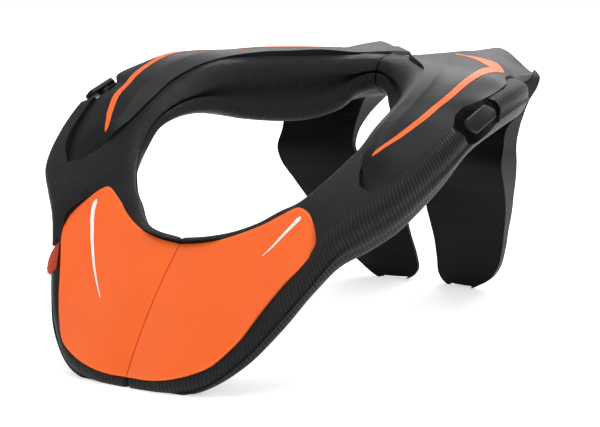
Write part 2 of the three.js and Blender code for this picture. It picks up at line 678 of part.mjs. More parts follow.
for (const side of ['left', 'right']) {
  const mirrored = side === 'right';
  addMesh(`collar_roll_${side}`, mirrored ? roll.subtract(tabSeat) : roll, materials.roll, mirrored);
  addMesh(`front_plate_${side}`, plate, materials.plate, mirrored);
  addMesh(`side_panel_${side}`, deck, materials.deck, mirrored);
  addMesh(`stripe_${side}`, stripe, materials.stripe, mirrored);
  addMesh(`strap_hook_${side}`, hookBody(), materials.hook, mirrored);
  addMesh(`wing_shell_${side}`, shell, materials.shell, mirrored);
  addMesh(`wing_pad_${side}`, pad, materials.pad, mirrored);
  addMesh(`hinge_${side}`, mirrored ? rightHinge() : leftHinge(), materials.hinge, mirrored);
}
addMesh('release_tab', tabBody(), materials.tab, false);

export default brace;
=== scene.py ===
"""Dresses the neck brace: smooth padded rolls, hard deck and plates, wings and studio."""

import math

import bmesh
import bpy
import numpy as np
from mathutils import Matrix, Vector


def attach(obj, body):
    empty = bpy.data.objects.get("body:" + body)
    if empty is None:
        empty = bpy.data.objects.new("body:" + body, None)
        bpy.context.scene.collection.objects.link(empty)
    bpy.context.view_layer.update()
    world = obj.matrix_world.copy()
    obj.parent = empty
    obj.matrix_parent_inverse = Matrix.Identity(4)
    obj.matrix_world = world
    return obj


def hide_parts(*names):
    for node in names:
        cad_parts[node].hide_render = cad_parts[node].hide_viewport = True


bl_info = {
    "name": "Neck brace",
    "version": (1, 0, 0),
    "blender": (4, 5, 0),
    "location": "3D View > Sidebar > Neck brace",
    "description": "Builds the padded rolls, hard shells, wings and hooks of a motocross neck brace",
    "category": "Mesh",
}

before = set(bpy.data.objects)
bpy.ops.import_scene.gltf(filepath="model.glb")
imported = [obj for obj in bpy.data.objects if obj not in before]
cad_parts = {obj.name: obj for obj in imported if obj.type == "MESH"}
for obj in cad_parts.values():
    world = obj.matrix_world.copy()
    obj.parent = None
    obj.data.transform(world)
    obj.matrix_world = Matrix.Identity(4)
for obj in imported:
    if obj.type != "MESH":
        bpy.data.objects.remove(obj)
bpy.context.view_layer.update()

MM = 0.001
SIDES = ("left", "right")

# The tables hold shares, as in the solids: x of the half width, y of the front or rear reach,
# and z of the height.

# Padded roll, from the front split to the rear one: lip, brow, rim, root
ROLL_SECTIONS = [
    ((0.000, -0.685, 0.470), (0.000, -1.000, 0.007), (0.000, -0.926, -0.033), (0.000, -0.623, 0.368)),
    ((0.125, -0.688, 0.487), (0.168, -0.997, 0.020), (0.148, -0.926, -0.033), (0.117, -0.623, 0.375)),
    ((0.219, -0.648, 0.507), (0.336, -0.969, 0.056), (0.305, -0.914, -0.007), (0.203, -0.599, 0.388)),
    ((0.297, -0.593, 0.539), (0.469, -0.892, 0.164), (0.465, -0.864, 0.079), (0.281, -0.562, 0.408)),
    ((0.359, -0.543, 0.579), (0.566, -0.812, 0.296), (0.566, -0.778, 0.188), (0.352, -0.512, 0.441)),
    ((0.414, -0.500, 0.609), (0.645, -0.735, 0.401), (0.641, -0.691, 0.306), (0.438, -0.463, 0.493)),
    ((0.469, -0.438, 0.664), (0.707, -0.682, 0.503), (0.711, -0.611, 0.388), (0.500, -0.407, 0.546)),
    ((0.516, -0.383, 0.717), (0.801, -0.617, 0.572), (0.777, -0.531, 0.431), (0.531, -0.333, 0.618)),
    ((0.555, -0.321, 0.770), (0.891, -0.543, 0.635), (0.859, -0.457, 0.493), (0.531, -0.278, 0.684)),
    ((0.562, -0.235, 0.826), (0.977, -0.364, 0.757), (0.930, -0.309, 0.612), (0.523, -0.216, 0.750)),
    ((0.562, -0.123, 0.885), (1.012, -0.204, 0.849), (0.949, -0.154, 0.717), (0.492, -0.099, 0.783)),
    ((0.539, -0.012, 0.934), (1.012, -0.031, 0.914), (0.961, 0.031, 0.776), (0.438, 0.025, 0.776)),
    ((0.477, 0.106, 0.974), (0.992, 0.137, 0.941), (0.938, 0.199, 0.803), (0.367, 0.143, 0.737)),
    ((0.391, 0.224, 0.987), (0.930, 0.311, 0.941), (0.852, 0.385, 0.796), (0.266, 0.273, 0.717)),
    ((0.289, 0.342, 0.990), (0.820, 0.491, 0.921), (0.719, 0.553, 0.770), (0.180, 0.373, 0.724)),
    ((0.188, 0.447, 0.987), (0.641, 0.646, 0.911), (0.539, 0.658, 0.750), (0.102, 0.453, 0.763)),
    ((0.078, 0.528, 0.980), (0.297, 0.720, 0.941), (0.242, 0.708, 0.776), (0.047, 0.497, 0.829)),
    ((0.000, 0.553, 0.977), (0.000, 0.727, 0.951), (0.000, 0.714, 0.796), (0.000, 0.509, 0.855)),
]
# Hard deck, from its front tip to its rear end: inner, ridge, shoulder, outer
DECK_ROWS = [
    ((0.695, -0.478, 0.655), (0.711, -0.488, 0.651), (0.734, -0.500, 0.645), (0.760, -0.512, 0.636)),
    ((0.662, -0.438, 0.688), (0.703, -0.451, 0.684), (0.766, -0.457, 0.682), (0.825, -0.451, 0.673)),
    ((0.634, -0.392, 0.745), (0.672, -0.380, 0.760), (0.766, -0.383, 0.751), (0.866, -0.385, 0.722)),
    ((0.615, -0.315, 0.789), (0.662, -0.309, 0.809), (0.773, -0.309, 0.803), (0.891, -0.305, 0.779)),
    ((0.609, -0.235, 0.836), (0.678, -0.235, 0.855), (0.797, -0.228, 0.855), (0.912, -0.212, 0.834)),
    ((0.609, -0.160, 0.873), (0.688, -0.154, 0.897), (0.797, -0.148, 0.893), (0.882, -0.130, 0.883)),
    ((0.609, -0.085, 0.910), (0.688, -0.090, 0.930), (0.820, -0.080, 0.924), (0.935, -0.065, 0.912)),
    ((0.588, 0.012, 0.946), (0.672, 0.010, 0.968), (0.828, 0.031, 0.963), (0.945, 0.050, 0.936)),
    ((0.560, 0.085, 0.967), (0.648, 0.095, 0.988), (0.828, 0.124, 0.983), (0.930, 0.130, 0.952)),
    ((0.500, 0.180, 0.986), (0.602, 0.193, 1.000), (0.789, 0.224, 0.988), (0.875, 0.211, 0.964)),
    ((0.411, 0.267, 0.997), (0.539, 0.298, 1.000), (0.727, 0.373, 0.982), (0.805, 0.360, 0.958)),
    ((0.325, 0.360, 0.997), (0.461, 0.410, 0.997), (0.625, 0.491, 0.987), (0.738, 0.503, 0.934)),
    ((0.240, 0.453, 0.997), (0.352, 0.522, 0.992), (0.484, 0.596, 0.987), (0.672, 0.609, 0.920)),
    ((0.148, 0.578, 0.980), (0.219, 0.646, 0.984), (0.328, 0.696, 0.983), (0.625, 0.708, 0.910)),
    ((0.141, 0.733, 0.970), (0.203, 0.752, 0.978), (0.328, 0.770, 0.980), (0.598, 0.820, 0.901)),
    ((0.141, 0.870, 0.961), (0.211, 0.870, 0.975), (0.336, 0.888, 0.983), (0.570, 0.919, 0.898)),
    ((0.141, 0.981, 0.947), (0.219, 0.994, 0.967), (0.340, 1.000, 0.984), (0.516, 0.981, 0.895)),
]
# Chest plate, from the split outward: top, bottom
PLATE_ROWS = [
    ((0.000, -0.695, 0.438), (0.000, -0.985, 0.039)),
    ((0.094, -0.702, 0.449), (0.094, -0.994, 0.044)),
    ((0.188, -0.690, 0.467), (0.195, -0.990, 0.057)),
    ((0.273, -0.664, 0.493), (0.289, -0.969, 0.079)),
    ((0.352, -0.631, 0.524), (0.367, -0.942, 0.112)),
    ((0.414, -0.599, 0.557), (0.426, -0.899, 0.167)),
    ((0.477, -0.580, 0.584), (0.473, -0.855, 0.240)),
    ((0.523, -0.580, 0.571), (0.516, -0.806, 0.309)),
    ((0.562, -0.599, 0.543), (0.556, -0.762, 0.368)),
    ((0.598, -0.627, 0.509), (0.594, -0.722, 0.411)),
    ((0.620, -0.651, 0.480), (0.617, -0.688, 0.444)),
]
# Wing, from tip to top: outer and inner edge of its front, and its depths behind them
WING_LEVELS = [
    ((0.242, 0.910, -0.007), (0.148, 0.925, -0.007), (0.012, 0.025, 0.012)),
    ((0.289, 0.907, 0.010), (0.090, 0.935, 0.010), (0.016, 0.037, 0.012)),
    ((0.359, 0.910, 0.046), (0.058, 0.938, 0.046), (0.019, 0.050, 0.012)),
    ((0.422, 0.882, 0.105), (0.058, 0.925, 0.105), (0.025, 0.062, 0.012)),
    ((0.477, 0.832, 0.197), (0.067, 0.888, 0.197), (0.031, 0.078, 0.012)),
    ((0.516, 0.783, 0.276), (0.066, 0.854, 0.276), (0.037, 0.090, 0.012)),
    ((0.555, 0.733, 0.355), (0.062, 0.829, 0.355), (0.050, 0.106, 0.012)),
    ((0.586, 0.680, 0.434), (0.117, 0.801, 0.434), (0.068, 0.124, 0.012)),
    ((0.609, 0.627, 0.507), (0.203, 0.739, 0.507), (0.099, 0.143, 0.012)),
    ((0.612, 0.602, 0.572), (0.254, 0.705, 0.572), (0.124, 0.161, 0.019)),
    ((0.605, 0.627, 0.638), (0.258, 0.711, 0.638), (0.106, 0.168, 0.037)),
    ((0.602, 0.649, 0.704), (0.250, 0.733, 0.704), (0.112, 0.186, 0.087)),
    ((0.602, 0.745, 0.763), (0.234, 0.752, 0.763), (0.056, 0.174, 0.168)),
    ((0.598, 0.752, 0.803), (0.195, 0.752, 0.803), (0.093, 0.193, 0.199)),
    ((0.592, 0.752, 0.842), (0.156, 0.752, 0.842), (0.161, 0.224, 0.230)),
    ((0.575, 0.752, 0.882), (0.145, 0.752, 0.882), (0.211, 0.236, 0.239)),
    ((0.484, 0.752, 0.941), (0.145, 0.752, 0.941), (0.230, 0.239, 0.239)),
]
# Stripe: row of the deck, and its edges counted across the deck from 0 to 3
STRIPE_ROWS = [
    (1.8, 0.98, 1.02),
    (2, 1.06, 1.22),
    (2.5, 1.32, 1.54),
    (3, 1.54, 1.79),
    (4, 1.71, 1.98),
    (5, 1.83, 2.13),
    (6, 1.79, 2.05),
    (7, 1.77, 2.01),
    (8, 1.75, 2.04),
    (9, 1.82, 2.36),
    (9.5, 1.88, 2.68),
    (10, 1.74, 2.32),
    (11, 1.62, 2.16),
    (12, 1.66, 2.2),
    (13, 1.84, 2.0),
]

# Level of the wing where its pad ends
PAD_TOP_LEVEL = 11

# Where the deck is hollowest, in columns from its crease, and the deck width where the hollow starts
HOLLOW_SHARE = 0.28
HOLLOW_WIDTH = 0.025

# Millimetres by which the skin is piled up at the front of the neck hole, and rows where it fades
LIP_RISE = 2.0
LIP_ROWS = 6

# Roll section: points round a corner and along a side, how many times a corner's radius
# fits in the side at the least, and how much rounder the rear corners are
CORNER_POINTS = 9
SIDE_POINTS = 11
CORNER_FIT = 2.2
ROLL_REAR_ROUNDING = 0.3

# Shares of the roll's rows where the wall's groove and the rear rounding start, and their run-in
GROOVE_START = 0.3
GROOVE_RUN = 0.3
REAR_START = 0.5
REAR_RUN = 0.2

# Width of the groove, as a share of the wall
GROOVE_WIDTH = 0.27

# How far back the roll's ends are tucked in, and how deep
END_DEPTH = 0.0022
END_TUCK = 0.0018

# How far a seat reaches above the piece's own face
SEAT_LIFT = 0.0002

# How finely the pieces are drawn, in steps along and across
ROLL_STEPS = 260
DECK_STEPS = (150, 37)
DECK_SEAT_STEPS = (120, 31)
PLATE_STEPS = (110, 24)
PLATE_SEAT_STEPS = (90, 16)
STRIPE_STEPS = (120, 7)
FLASH_STEPS = 48
WING_STEPS = (130, 24)
PAD_STEPS = (110, 26)
PAD_SEAT_STEPS = (90, 20)

# Widths of the rounded edges
DECK_EDGE = 0.0007
PLATE_EDGE = 0.0006
HOOK_EDGE = 0.0008
TAB_EDGE = 0.0007

# Depth of the stripe in the deck
STRIPE_DEPTH = 0.0012

# The way that the chest plate faces
PLATE_FACING = np.array((0, -1, 0.74)) / math.hypot(1, 0.74)

# Flashes: width in millimetres, and points of the middle line, each a row along the plate
# and a share down it
FLASHES = {
    "left": (2.2, ((6.62, 0.07), (6.3, 0.16), (5.6, 0.27), (4.8, 0.32))),
    "right": (2.6, ((6.8, 0.12), (6.5, 0.23), (5.4, 0.38), (3.9, 0.46), (2.5, 0.58))),
}
FLASH_HEIGHT = 0.0003
FLASH_DEPTH = 0.0006

# Shares of a flash's length that widen and that narrow, and how full the narrowing is
FLASH_WIDENING = 0.12
FLASH_NARROWING = 0.85
FLASH_FULLNESS = 0.7

# Strap hook and its scoop: place in shares, lengths in millimetres
HOOK_PLACE = (0.968, -0.119, 0.852)
HOOK_PITCH_DEGREES = 17
HOOK_LEAN_DEGREES = 52
HOOK_CAP_LENGTH = 28
HOOK_CAP_WIDTH = 9
HOOK_CAP_THICKNESS = 3
HOOK_STEM_DIAMETER = 6
HOOK_STEM_LENGTH = 13
HOOK_CORNER = 3.2
HOOK_SLANT = 0.35
SCOOP_LENGTH = 40
SCOOP_WIDTH = 25
SCOOP_DEPTH = 8

# Wing pad, in millimetres
PAD_CROWN = 1.5
PAD_THICKNESS = 6
PAD_EDGE_THICKNESS = 1.2
PAD_INSET = 1.2
PAD_FOOT = 1.5

# Release tab: place in shares, lengths in millimetres. Its room is wider and fuller than the blade.
TAB_PLACE = (-0.620, -0.682, 0.386)
TAB_ALONG = (0.02, -0.56, -0.83)
TAB_OUT = (-1, 0, 0)
TAB_LENGTH = 20
TAB_THICKNESS = 4
TAB_HEAD_RADIUS = 3.5
TAB_INNER_DEGREES = -14
TAB_OUTER_DEGREES = 2
TAB_BULGE = 3
TAB_NOTCH = 14
TAB_PROUD = 2
TAB_RIBS = 5
TAB_RIB_SPACING = 2
TAB_RIB_LENGTH = 3.5
TAB_RIB_THICKNESS = 0.8
TAB_ROOM_INNER_DEGREES = -40
TAB_ROOM_OUTER_DEGREES = 75
TAB_ROOM_BULGE = 3

# The camera of the photograph
CAMERA_AZIMUTH = 32.9
CAMERA_ELEVATION = 10.0
CAMERA_DISTANCE = 1.130
CAMERA_TARGET = (0.0013, 0.0, 0.066)
CAMERA_LENS = 120

# Soft lights: name, place, size and power. All aim at one point.
LIGHT_TARGET = (0, 0, 0.08)
LIGHTS = (
    ("top_softbox", (0.1, 0.3, 1.6), (1.6, 1.2), 19),
    ("right_softbox", (1.6, -0.2, 0.9), (0.9, 1.4), 7),
    ("left_softbox", (-1.5, -0.9, 0.9), (0.9, 1.4), 6),
    ("rear_strip", (-0.4, 1.5, 1.0), (1.6, 0.4), 16),
)


def length(name, words, value):
    return bpy.props.FloatProperty(name=name, description=words, default=value, unit="LENGTH")


class BraceSizes(bpy.types.PropertyGroup):
    half_width: length("Half width", "Middle to the widest point of the rolls", 0.128)
    front_reach: length("Front reach", "Origin to the chest plate's foot", 0.162)
    rear_reach: length("Rear reach", "Origin to the back of the wings", 0.161)
    height: length("Height", "Floor to the top of the deck", 0.152)
    roll_radius: length("Roll edge radius", "Rounding of the padded roll's edges", 0.009)
    roll_crown: length("Roll crown", "How far the padding swells between its edges", 0.0012)
    wall_groove: length("Wall groove", "Depth of the groove along the neck side", 0.005)
    clearance: length("Clearance", "Gap round a hard piece in its seat", 0.0004)
    deck_thickness: length("Deck thickness", "Thickness of the hard deck", 0.004)
    deck_hollow: length("Deck hollow", "Depth of the hollow beside the deck's crease", 0.0010)
    plate_thickness: length("Plate thickness", "Thickness of the chest plate", 0.0035)
    plate_bulge: length("Plate bulge", "How far the chest plate bows out", 0.003)
    stripe_proud: length("Stripe height", "How far the stripe stands out of the deck", 0.00025)
    weave_pitch: length("Weave pitch", "Width of one yarn of the woven skin", 0.0010)
    split_gap: length("Split gap", "Gap between the halves at the front", 0.0008)


def colour(name, words, value):
    return bpy.props.FloatVectorProperty(
        name=name, description=words, subtype="COLOR", size=4, min=0.0, max=1.0, default=(*value, 1.0)
    )


class BraceColours(bpy.types.PropertyGroup):
    orange: colour("Orange", "Chest plates and stripes", (0.95, 0.142, 0.026))
    charcoal: colour("Charcoal", "Hard deck and hooks", (0.0080, 0.0083, 0.0102))
    weave_dark: colour("Weave dark", "Yarns that turn from the light", (0.0022, 0.0023, 0.0026))
    weave_light: colour("Weave light", "Yarns that catch the light", (0.0280, 0.0290, 0.0330))
    shell: colour("Shell", "Wing shells and hinge", (0.0075, 0.0076, 0.0088))
    pad: colour("Pad", "Wing pads", (0.0026, 0.0027, 0.0032))
    tab: colour("Tab", "Release tab", (0.42, 0.040, 0.010))
    flash: colour("Flash", "Pale flashes on the chest plate", (0.80, 0.78, 0.78))
    floor: colour("Floor", "Studio floor and backdrop", (0.93, 0.93, 0.93))


def sizes():
    return bpy.context.scene.brace_sizes


def colours():
    return bpy.context.scene.brace_colours


# Curves and grids


def place(share):
    """A point in metres from its shares of the named sizes."""
    x, y, z = share
    s = sizes()
    reach = s.front_reach if y < 0 else s.rear_reach
    return np.array([x * s.half_width, y * reach, z * s.height])


def curve_through(points, at):
    """A centripetal curve through points, read at point numbers with a fraction."""
    points = np.asarray(points, float)
    ends = [2 * points[0] - points[1]], [2 * points[-1] - points[-2]]
    p = np.concatenate([ends[0], points, ends[1]])
    at = np.clip(np.asarray(at, float), 0, len(points) - 1)
    low = np.minimum(at.astype(int), len(points) - 2)
    w = (at - low)[:, None]
    p0, p1, p2, p3 = (p[low + k] for k in range(4))
    spans = ((p0, p1), (p1, p2), (p2, p3))
    d0, d1, d2 = (np.sqrt(np.linalg.norm(b - a, axis=1))[:, None] for a, b in spans)
    d1 = np.where(d1 < 1e-5, 1.0, d1)
    d0 = np.where(d0 < 1e-5, d1, d0)
    d2 = np.where(d2 < 1e-5, d1, d2)
    t1 = ((p1 - p0) / d0 - (p2 - p0) / (d0 + d1) + (p2 - p1) / d1) * d1
    t2 = ((p2 - p1) / d1 - (p3 - p1) / (d1 + d2) + (p3 - p2) / d2) * d1
    c2 = -3 * p1 + 3 * p2 - 2 * t1 - t2
    c3 = 2 * p1 - 2 * p2 + t1 + t2
    return p1 + t1 * w + c2 * w**2 + c3 * w**3


def rails(rows, column, at):
    """One column of a table as a smooth curve of places."""
    return curve_through([place(row[column]) for row in rows], at)


def even_rows(rows, columns, count):
    """Row numbers that step evenly along the middle of a table's columns."""
    fine = np.linspace(0, len(rows) - 1, 40 * len(rows))
    middle = sum(rails(rows, c, fine) for c in columns) / len(columns)
    steps = np.linalg.norm(np.diff(middle, axis=0), axis=1)
    length = np.concatenate([[0], np.cumsum(steps)])
    return np.interp(np.linspace(0, length[-1], count), length, fine), np.linspace(0, length[-1], count)


def make_mesh(name, vertices, faces, layer=None):
    """A mesh object in the row frame, with an optional pattern layer of one pair per vertex."""
    mesh = bpy.data.meshes.new(name)
    mesh.from_pydata([tuple(v) for v in vertices], [], faces)
    if layer is not None:
        uv = mesh.uv_layers.new(name="pattern")
        for loop in mesh.loops:
            uv.data[loop.index].uv = layer[loop.vertex_index]
    mesh.update()
    piece = bpy.data.objects.new(name, mesh)
    bpy.context.scene.collection.objects.link(piece)
    outward(piece)
    return piece


def outward(piece):
    """Joins doubled points and turns a closed mesh's faces outwards."""
    work = bmesh.new()
    work.from_mesh(piece.data)
    bmesh.ops.remove_doubles(work, verts=work.verts, dist=1e-6)
    bmesh.ops.recalc_face_normals(work, faces=work.faces)
    if work.calc_volume(signed=True) < 0:
        bmesh.ops.reverse_faces(work, faces=work.faces)
    work.to_mesh(piece.data)
    work.free()


def loft(name, rings, layer=None):
    """A closed skin through rings of points, with flat ends."""
    rows, count = rings.shape[:2]
    faces = []
    for i in range(rows - 1):
        for j in range(count):
            a = i * count + j
            b = i * count + (j + 1) % count
            faces.append((a, b, b + count, a + count))
    faces.append(tuple(range(count - 1, -1, -1)))
    faces.append(tuple((rows - 1) * count + j for j in range(count)))
    flat = None if layer is None else layer.reshape(-1, 2)
    return make_mesh(name, rings.reshape(-1, 3), faces, flat)


def sheet_rings(grid, above, below, grow=0.0):
    """Closed sections of a sheet over a grid, from above its surface to below it."""
    along = np.gradient(grid, axis=0)
    across = np.gradient(grid, axis=1)
    along /= np.linalg.norm(along, axis=2, keepdims=True)
    across /= np.linalg.norm(across, axis=2, keepdims=True)
    normal = np.cross(across, along)
    normal /= np.linalg.norm(normal, axis=2, keepdims=True)
    normal *= np.sign(normal[..., 2:3])
    edge = grid.copy()
    edge[0] -= grow * along[0]
    edge[-1] += grow * along[-1]
    edge[:, 0] -= grow * across[:, 0]
    edge[:, -1] += grow * across[:, -1]
    top = edge + above * normal
    bottom = edge - below * normal
    return np.concatenate([top, bottom[:, ::-1]], axis=1)


def sheet(name, grid, above, below, grow=0.0):
    return loft(name, sheet_rings(grid, above, below, grow))


def mirrored(piece, name):
    """A copy on the wearer's right."""
    twin = piece.copy()
    twin.data = piece.data.copy()
    twin.name = name
    twin.data.name = name
    bpy.context.scene.collection.objects.link(twin)
    twin.data.transform(Matrix.Scale(-1, 4, (1, 0, 0)))
    twin.data.flip_normals()
    return twin


def apply_modifiers(piece):
    """Makes the modified shape the piece's own mesh."""
    graph = bpy.context.evaluated_depsgraph_get()
    mesh = bpy.data.meshes.new_from_object(piece.evaluated_get(graph))
    piece.modifiers.clear()
    old = piece.data
    piece.data = mesh
    mesh.name = piece.name
    bpy.data.meshes.remove(old)


def cut(piece, *cutters):
    """Takes the cutters out of a piece and removes them."""
    for cutter in cutters:
        change = piece.modifiers.new("cut", "BOOLEAN")
        change.operation = "DIFFERENCE"
        change.solver = "MANIFOLD"
        change.object = cutter
        apply_modifiers(piece)
        bpy.data.objects.remove(cutter)


def join(piece, addition):
    """Adds another closed solid to a piece and removes it."""
    change = piece.modifiers.new("join", "BOOLEAN")
    change.operation = "UNION"
    change.solver = "MANIFOLD"
    change.object = addition
    apply_modifiers(piece)
    bpy.data.objects.remove(addition)


def rounded_edges(piece, width, segments=2, angle=math.radians(40)):
    bevel = piece.modifiers.new("rounded edges", "BEVEL")
    bevel.width = width
    bevel.segments = segments
    bevel.limit_method = "ANGLE"
    bevel.angle_limit = angle
    bevel.use_clamp_overlap = True
    apply_modifiers(piece)


def smooth_shading(piece, sharp=math.radians(35)):
    mesh = piece.data
    mesh.polygons.foreach_set("use_smooth", [True] * len(mesh.polygons))
    mesh.set_sharp_from_angle(angle=sharp)


def box(name, low, high):
    """A plain block, used to trim and to cut."""
    low, high = np.asarray(low, float), np.asarray(high, float)
    corners = [low + (high - low) * np.array([i & 1, i >> 1 & 1, i >> 2 & 1]) for i in range(8)]
    faces = [(0, 2, 3, 1), (4, 5, 7, 6), (0, 1, 5, 4), (2, 6, 7, 3), (0, 4, 6, 2), (1, 3, 7, 5)]
    return make_mesh(name, corners, faces)


def trim(piece, ground=0.0):
    """Keeps a left-hand piece clear of the split and above the floor."""
    far = 1.0
    cut(
        piece,
        box("past_split", (-far, -far, -far), (sizes().split_gap / 2, far, far)),
        box("below_ground", (-far, -far, -far), (far, far, ground)),
    )


def dress(piece, material, body, node=None):
    """Gives a finished piece its material, ties it to its body and hides the CAD node that it replaces.
    """
    piece.data.materials.clear()
    piece.data.materials.append(material)
    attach(piece, body)
    if node:
        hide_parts(node)


def pair(piece, material, node):
    """Dresses a left-hand piece and a mirrored twin that it makes."""
    twin = mirrored(piece, piece.name.replace("_left", "_right"))
    for one, side in ((piece, "left"), (twin, "right")):
        dress(one, material, f"{side}_half", f"{node}_{side}")


# Shader groups and materials


def new_group(name, inputs, outputs):
    """A shader node group with named sockets: (name, kind, default) in and (name, kind) out."""
    group = bpy.data.node_groups.new(name, "ShaderNodeTree")
    for label, kind, default in inputs:
        socket = group.interface.new_socket(label, in_out="INPUT", socket_type=kind)
        if default is not None:
            socket.default_value = default
    for label, kind in outputs:
        group.interface.new_socket(label, in_out="OUTPUT", socket_type=kind)
    entry = group.nodes.new("NodeGroupInput")
    leave = group.nodes.new("NodeGroupOutput")
    return group, entry, leave


def math_node(tree, operation, first, second=None, third=None, clamp=False):
    """A Math node fed by sockets or numbers."""
    node = tree.nodes.new("ShaderNodeMath")
    node.operation = operation
    node.use_clamp = clamp
    for socket, value in zip(node.inputs, (first, second, third)):
        if value is None:
            continue
        if isinstance(value, (int, float)):
            socket.default_value = value
        else:
            tree.links.new(value, socket)
    return node.outputs[0]


def mix_colour(tree, factor, first, second):
    node = tree.nodes.new("ShaderNodeMix")
    node.data_type = "RGBA"
    sockets = (node.inputs["Factor"], node.inputs[6], node.inputs[7])
    for socket, value in zip(sockets, (factor, first, second)):
        if isinstance(value, (int, float, tuple)):
            socket.default_value = value
        else:
            tree.links.new(value, socket)
    return node.outputs[2]


def noise_node(tree, vector, scale, detail=4.0, roughness=0.5):
    node = tree.nodes.new("ShaderNodeTexNoise")
    node.inputs["Scale"].default_value = scale
    node.inputs["Detail"].default_value = detail
    node.inputs["Roughness"].default_value = roughness
    tree.links.new(vector, node.inputs["Vector"])
    return node.outputs["Fac"]


def grain_group():
    """Fine moulded grain with slow patches: a mask of patches and a height."""
    group, entry, leave = new_group(
        "Moulded grain",
        [("Vector", "NodeSocketVector", None), ("Grain Scale", "NodeSocketFloat", 1800.0)],
        [("Height", "NodeSocketFloat"), ("Patches", "NodeSocketFloat")],
    )
    fine = group.nodes.new("ShaderNodeTexNoise")
    fine.inputs["Detail"].default_value = 3.0
    group.links.new(entry.outputs["Vector"], fine.inputs["Vector"])
    group.links.new(entry.outputs["Grain Scale"], fine.inputs["Scale"])
    patches = noise_node(group, entry.outputs["Vector"], 35.0, 3.0)
    group.links.new(fine.outputs["Fac"], leave.inputs["Height"])
    group.links.new(patches, leave.inputs["Patches"])
    return group


def edge_rub_and_highlight_group():
    """Rubbed edges with a painted highlight along them: a mask that grows where the surface turns
    outwards.
    """
    group, entry, leave = new_group(
        "Edge rub and highlight",
        [("Vector", "NodeSocketVector", None), ("Reach", "NodeSocketFloat", 0.06)],
        [("Mask", "NodeSocketFloat")],
    )
    turn = group.nodes.new("ShaderNodeNewGeometry").outputs["Pointiness"]
    past = math_node(group, "SUBTRACT", turn, 0.51)
    rise = math_node(group, "DIVIDE", past, entry.outputs["Reach"], clamp=True)
    broken = noise_node(group, entry.outputs["Vector"], 400.0, 3.0)
    group.links.new(math_node(group, "MULTIPLY", rise, broken, clamp=True), leave.inputs["Mask"])
    return group


def weave_group():
    """Woven ribs of slanted floats: how far up a float, its height and its shade."""
    group, entry, leave = new_group(
        "Ribbed weave",
        [("Vector", "NodeSocketVector", None), ("Yarn Width", "NodeSocketFloat", 0.0009)],
        [("Float", "NodeSocketFloat"), ("Height", "NodeSocketFloat"), ("Shade", "NodeSocketFloat")],
    )
    split = group.nodes.new("ShaderNodeSeparateXYZ")
    group.links.new(entry.outputs["Vector"], split.inputs[0])
    rib_width = math_node(group, "MULTIPLY", entry.outputs["Yarn Width"], 2.0)
    v = math_node(group, "DIVIDE", split.outputs["Y"], rib_width)
    row = math_node(group, "FLOOR", v)
    across = math_node(group, "FRACT", v)
    u = math_node(group, "DIVIDE", split.outputs["X"], entry.outputs["Yarn Width"])
    slant = math_node(group, "ADD", math_node(group, "MULTIPLY", row, 0.5), across)
    u = math_node(group, "ADD", u, slant)
    column = math_node(group, "FLOOR", u)
    rib = math_node(group, "SINE", math_node(group, "MULTIPLY", across, math.pi))
    dash = math_node(group, "SINE", math_node(group, "MULTIPLY", math_node(group, "FRACT", u), math.pi))
    swell = math_node(group, "ADD", math_node(group, "MULTIPLY", dash, 0.7), 0.3)
    height = math_node(group, "MULTIPLY", rib, swell)
    raised = math_node(group, "POWER", height, 1.6)
    cell = group.nodes.new("ShaderNodeCombineXYZ")
    group.links.new(column, cell.inputs[0])
    group.links.new(row, cell.inputs[1])
    random = group.nodes.new("ShaderNodeTexWhiteNoise")
    group.links.new(cell.outputs[0], random.inputs["Vector"])
    group.links.new(raised, leave.inputs["Float"])
    group.links.new(height, leave.inputs["Height"])
    group.links.new(random.outputs["Value"], leave.inputs["Shade"])
    return group


def shared_group(name, build):
    found = bpy.data.node_groups.get(name)
    return found if found else build()


def start_material(name):
    material = bpy.data.materials.new(name)
    material.use_nodes = True
    tree = material.node_tree
    shader = tree.nodes["Principled BSDF"]
    return material, tree, shader


def use_group(tree, group, vector, **values):
    node = tree.nodes.new("ShaderNodeGroup")
    node.node_tree = group
    tree.links.new(vector, node.inputs["Vector"])
    for label, value in values.items():
        node.inputs[label.replace("_", " ")].default_value = value
    return node


def coordinates(tree, output="Object"):
    return tree.nodes.new("ShaderNodeTexCoord").outputs[output]


def bump(tree, shader, height, strength, distance):
    node = tree.nodes.new("ShaderNodeBump")
    node.inputs["Strength"].default_value = strength
    node.inputs["Distance"].default_value = distance
    tree.links.new(height, node.inputs["Height"])
    tree.links.new(node.outputs["Normal"], shader.inputs["Normal"])


def range_of(tree, value, low, high):
    node = tree.nodes.new("ShaderNodeMapRange")
    node.inputs["To Min"].default_value = low
    node.inputs["To Max"].default_value = high
    tree.links.new(value, node.inputs["Value"])
    return node.outputs["Result"]


def scaled(colour_value, factor):
    """A darker or lighter shade of a colour."""
    return tuple(min(1.0, c * factor) for c in colour_value[:3]) + (1.0,)


def moulded_plastic(name, tint, rough_low, rough_high, grain=1800.0, depth=0.00004, gloss=0.32):
    """Moulded plastic: fine grain, slow patches of gloss and a slight change of shade."""
    found = bpy.data.materials.get(name)
    if found:
        return found
    material, tree, shader = start_material(name)
    vector = coordinates(tree)
    node = use_group(tree, shared_group("Moulded grain", grain_group), vector, Grain_Scale=grain)
    edges = use_group(tree, shared_group("Edge rub and highlight", edge_rub_and_highlight_group), vector, Reach=0.06)
    moulded = mix_colour(tree, node.outputs["Patches"], scaled(tint, 0.92), scaled(tint, 1.08))
    # Edges that turn outwards are mixed lighter: partly rubbed wear, partly a painted highlight
    rubbed_and_highlit = mix_colour(tree, edges.outputs["Mask"], moulded, scaled(tint, 1.8))
    tree.links.new(rubbed_and_highlit, shader.inputs["Base Color"])
    rough = range_of(tree, node.outputs["Patches"], rough_low, rough_high)
    tree.links.new(rough, shader.inputs["Roughness"])
    bump(tree, shader, node.outputs["Height"], 0.35, depth)
    shader.inputs["Specular IOR Level"].default_value = gloss
    return material


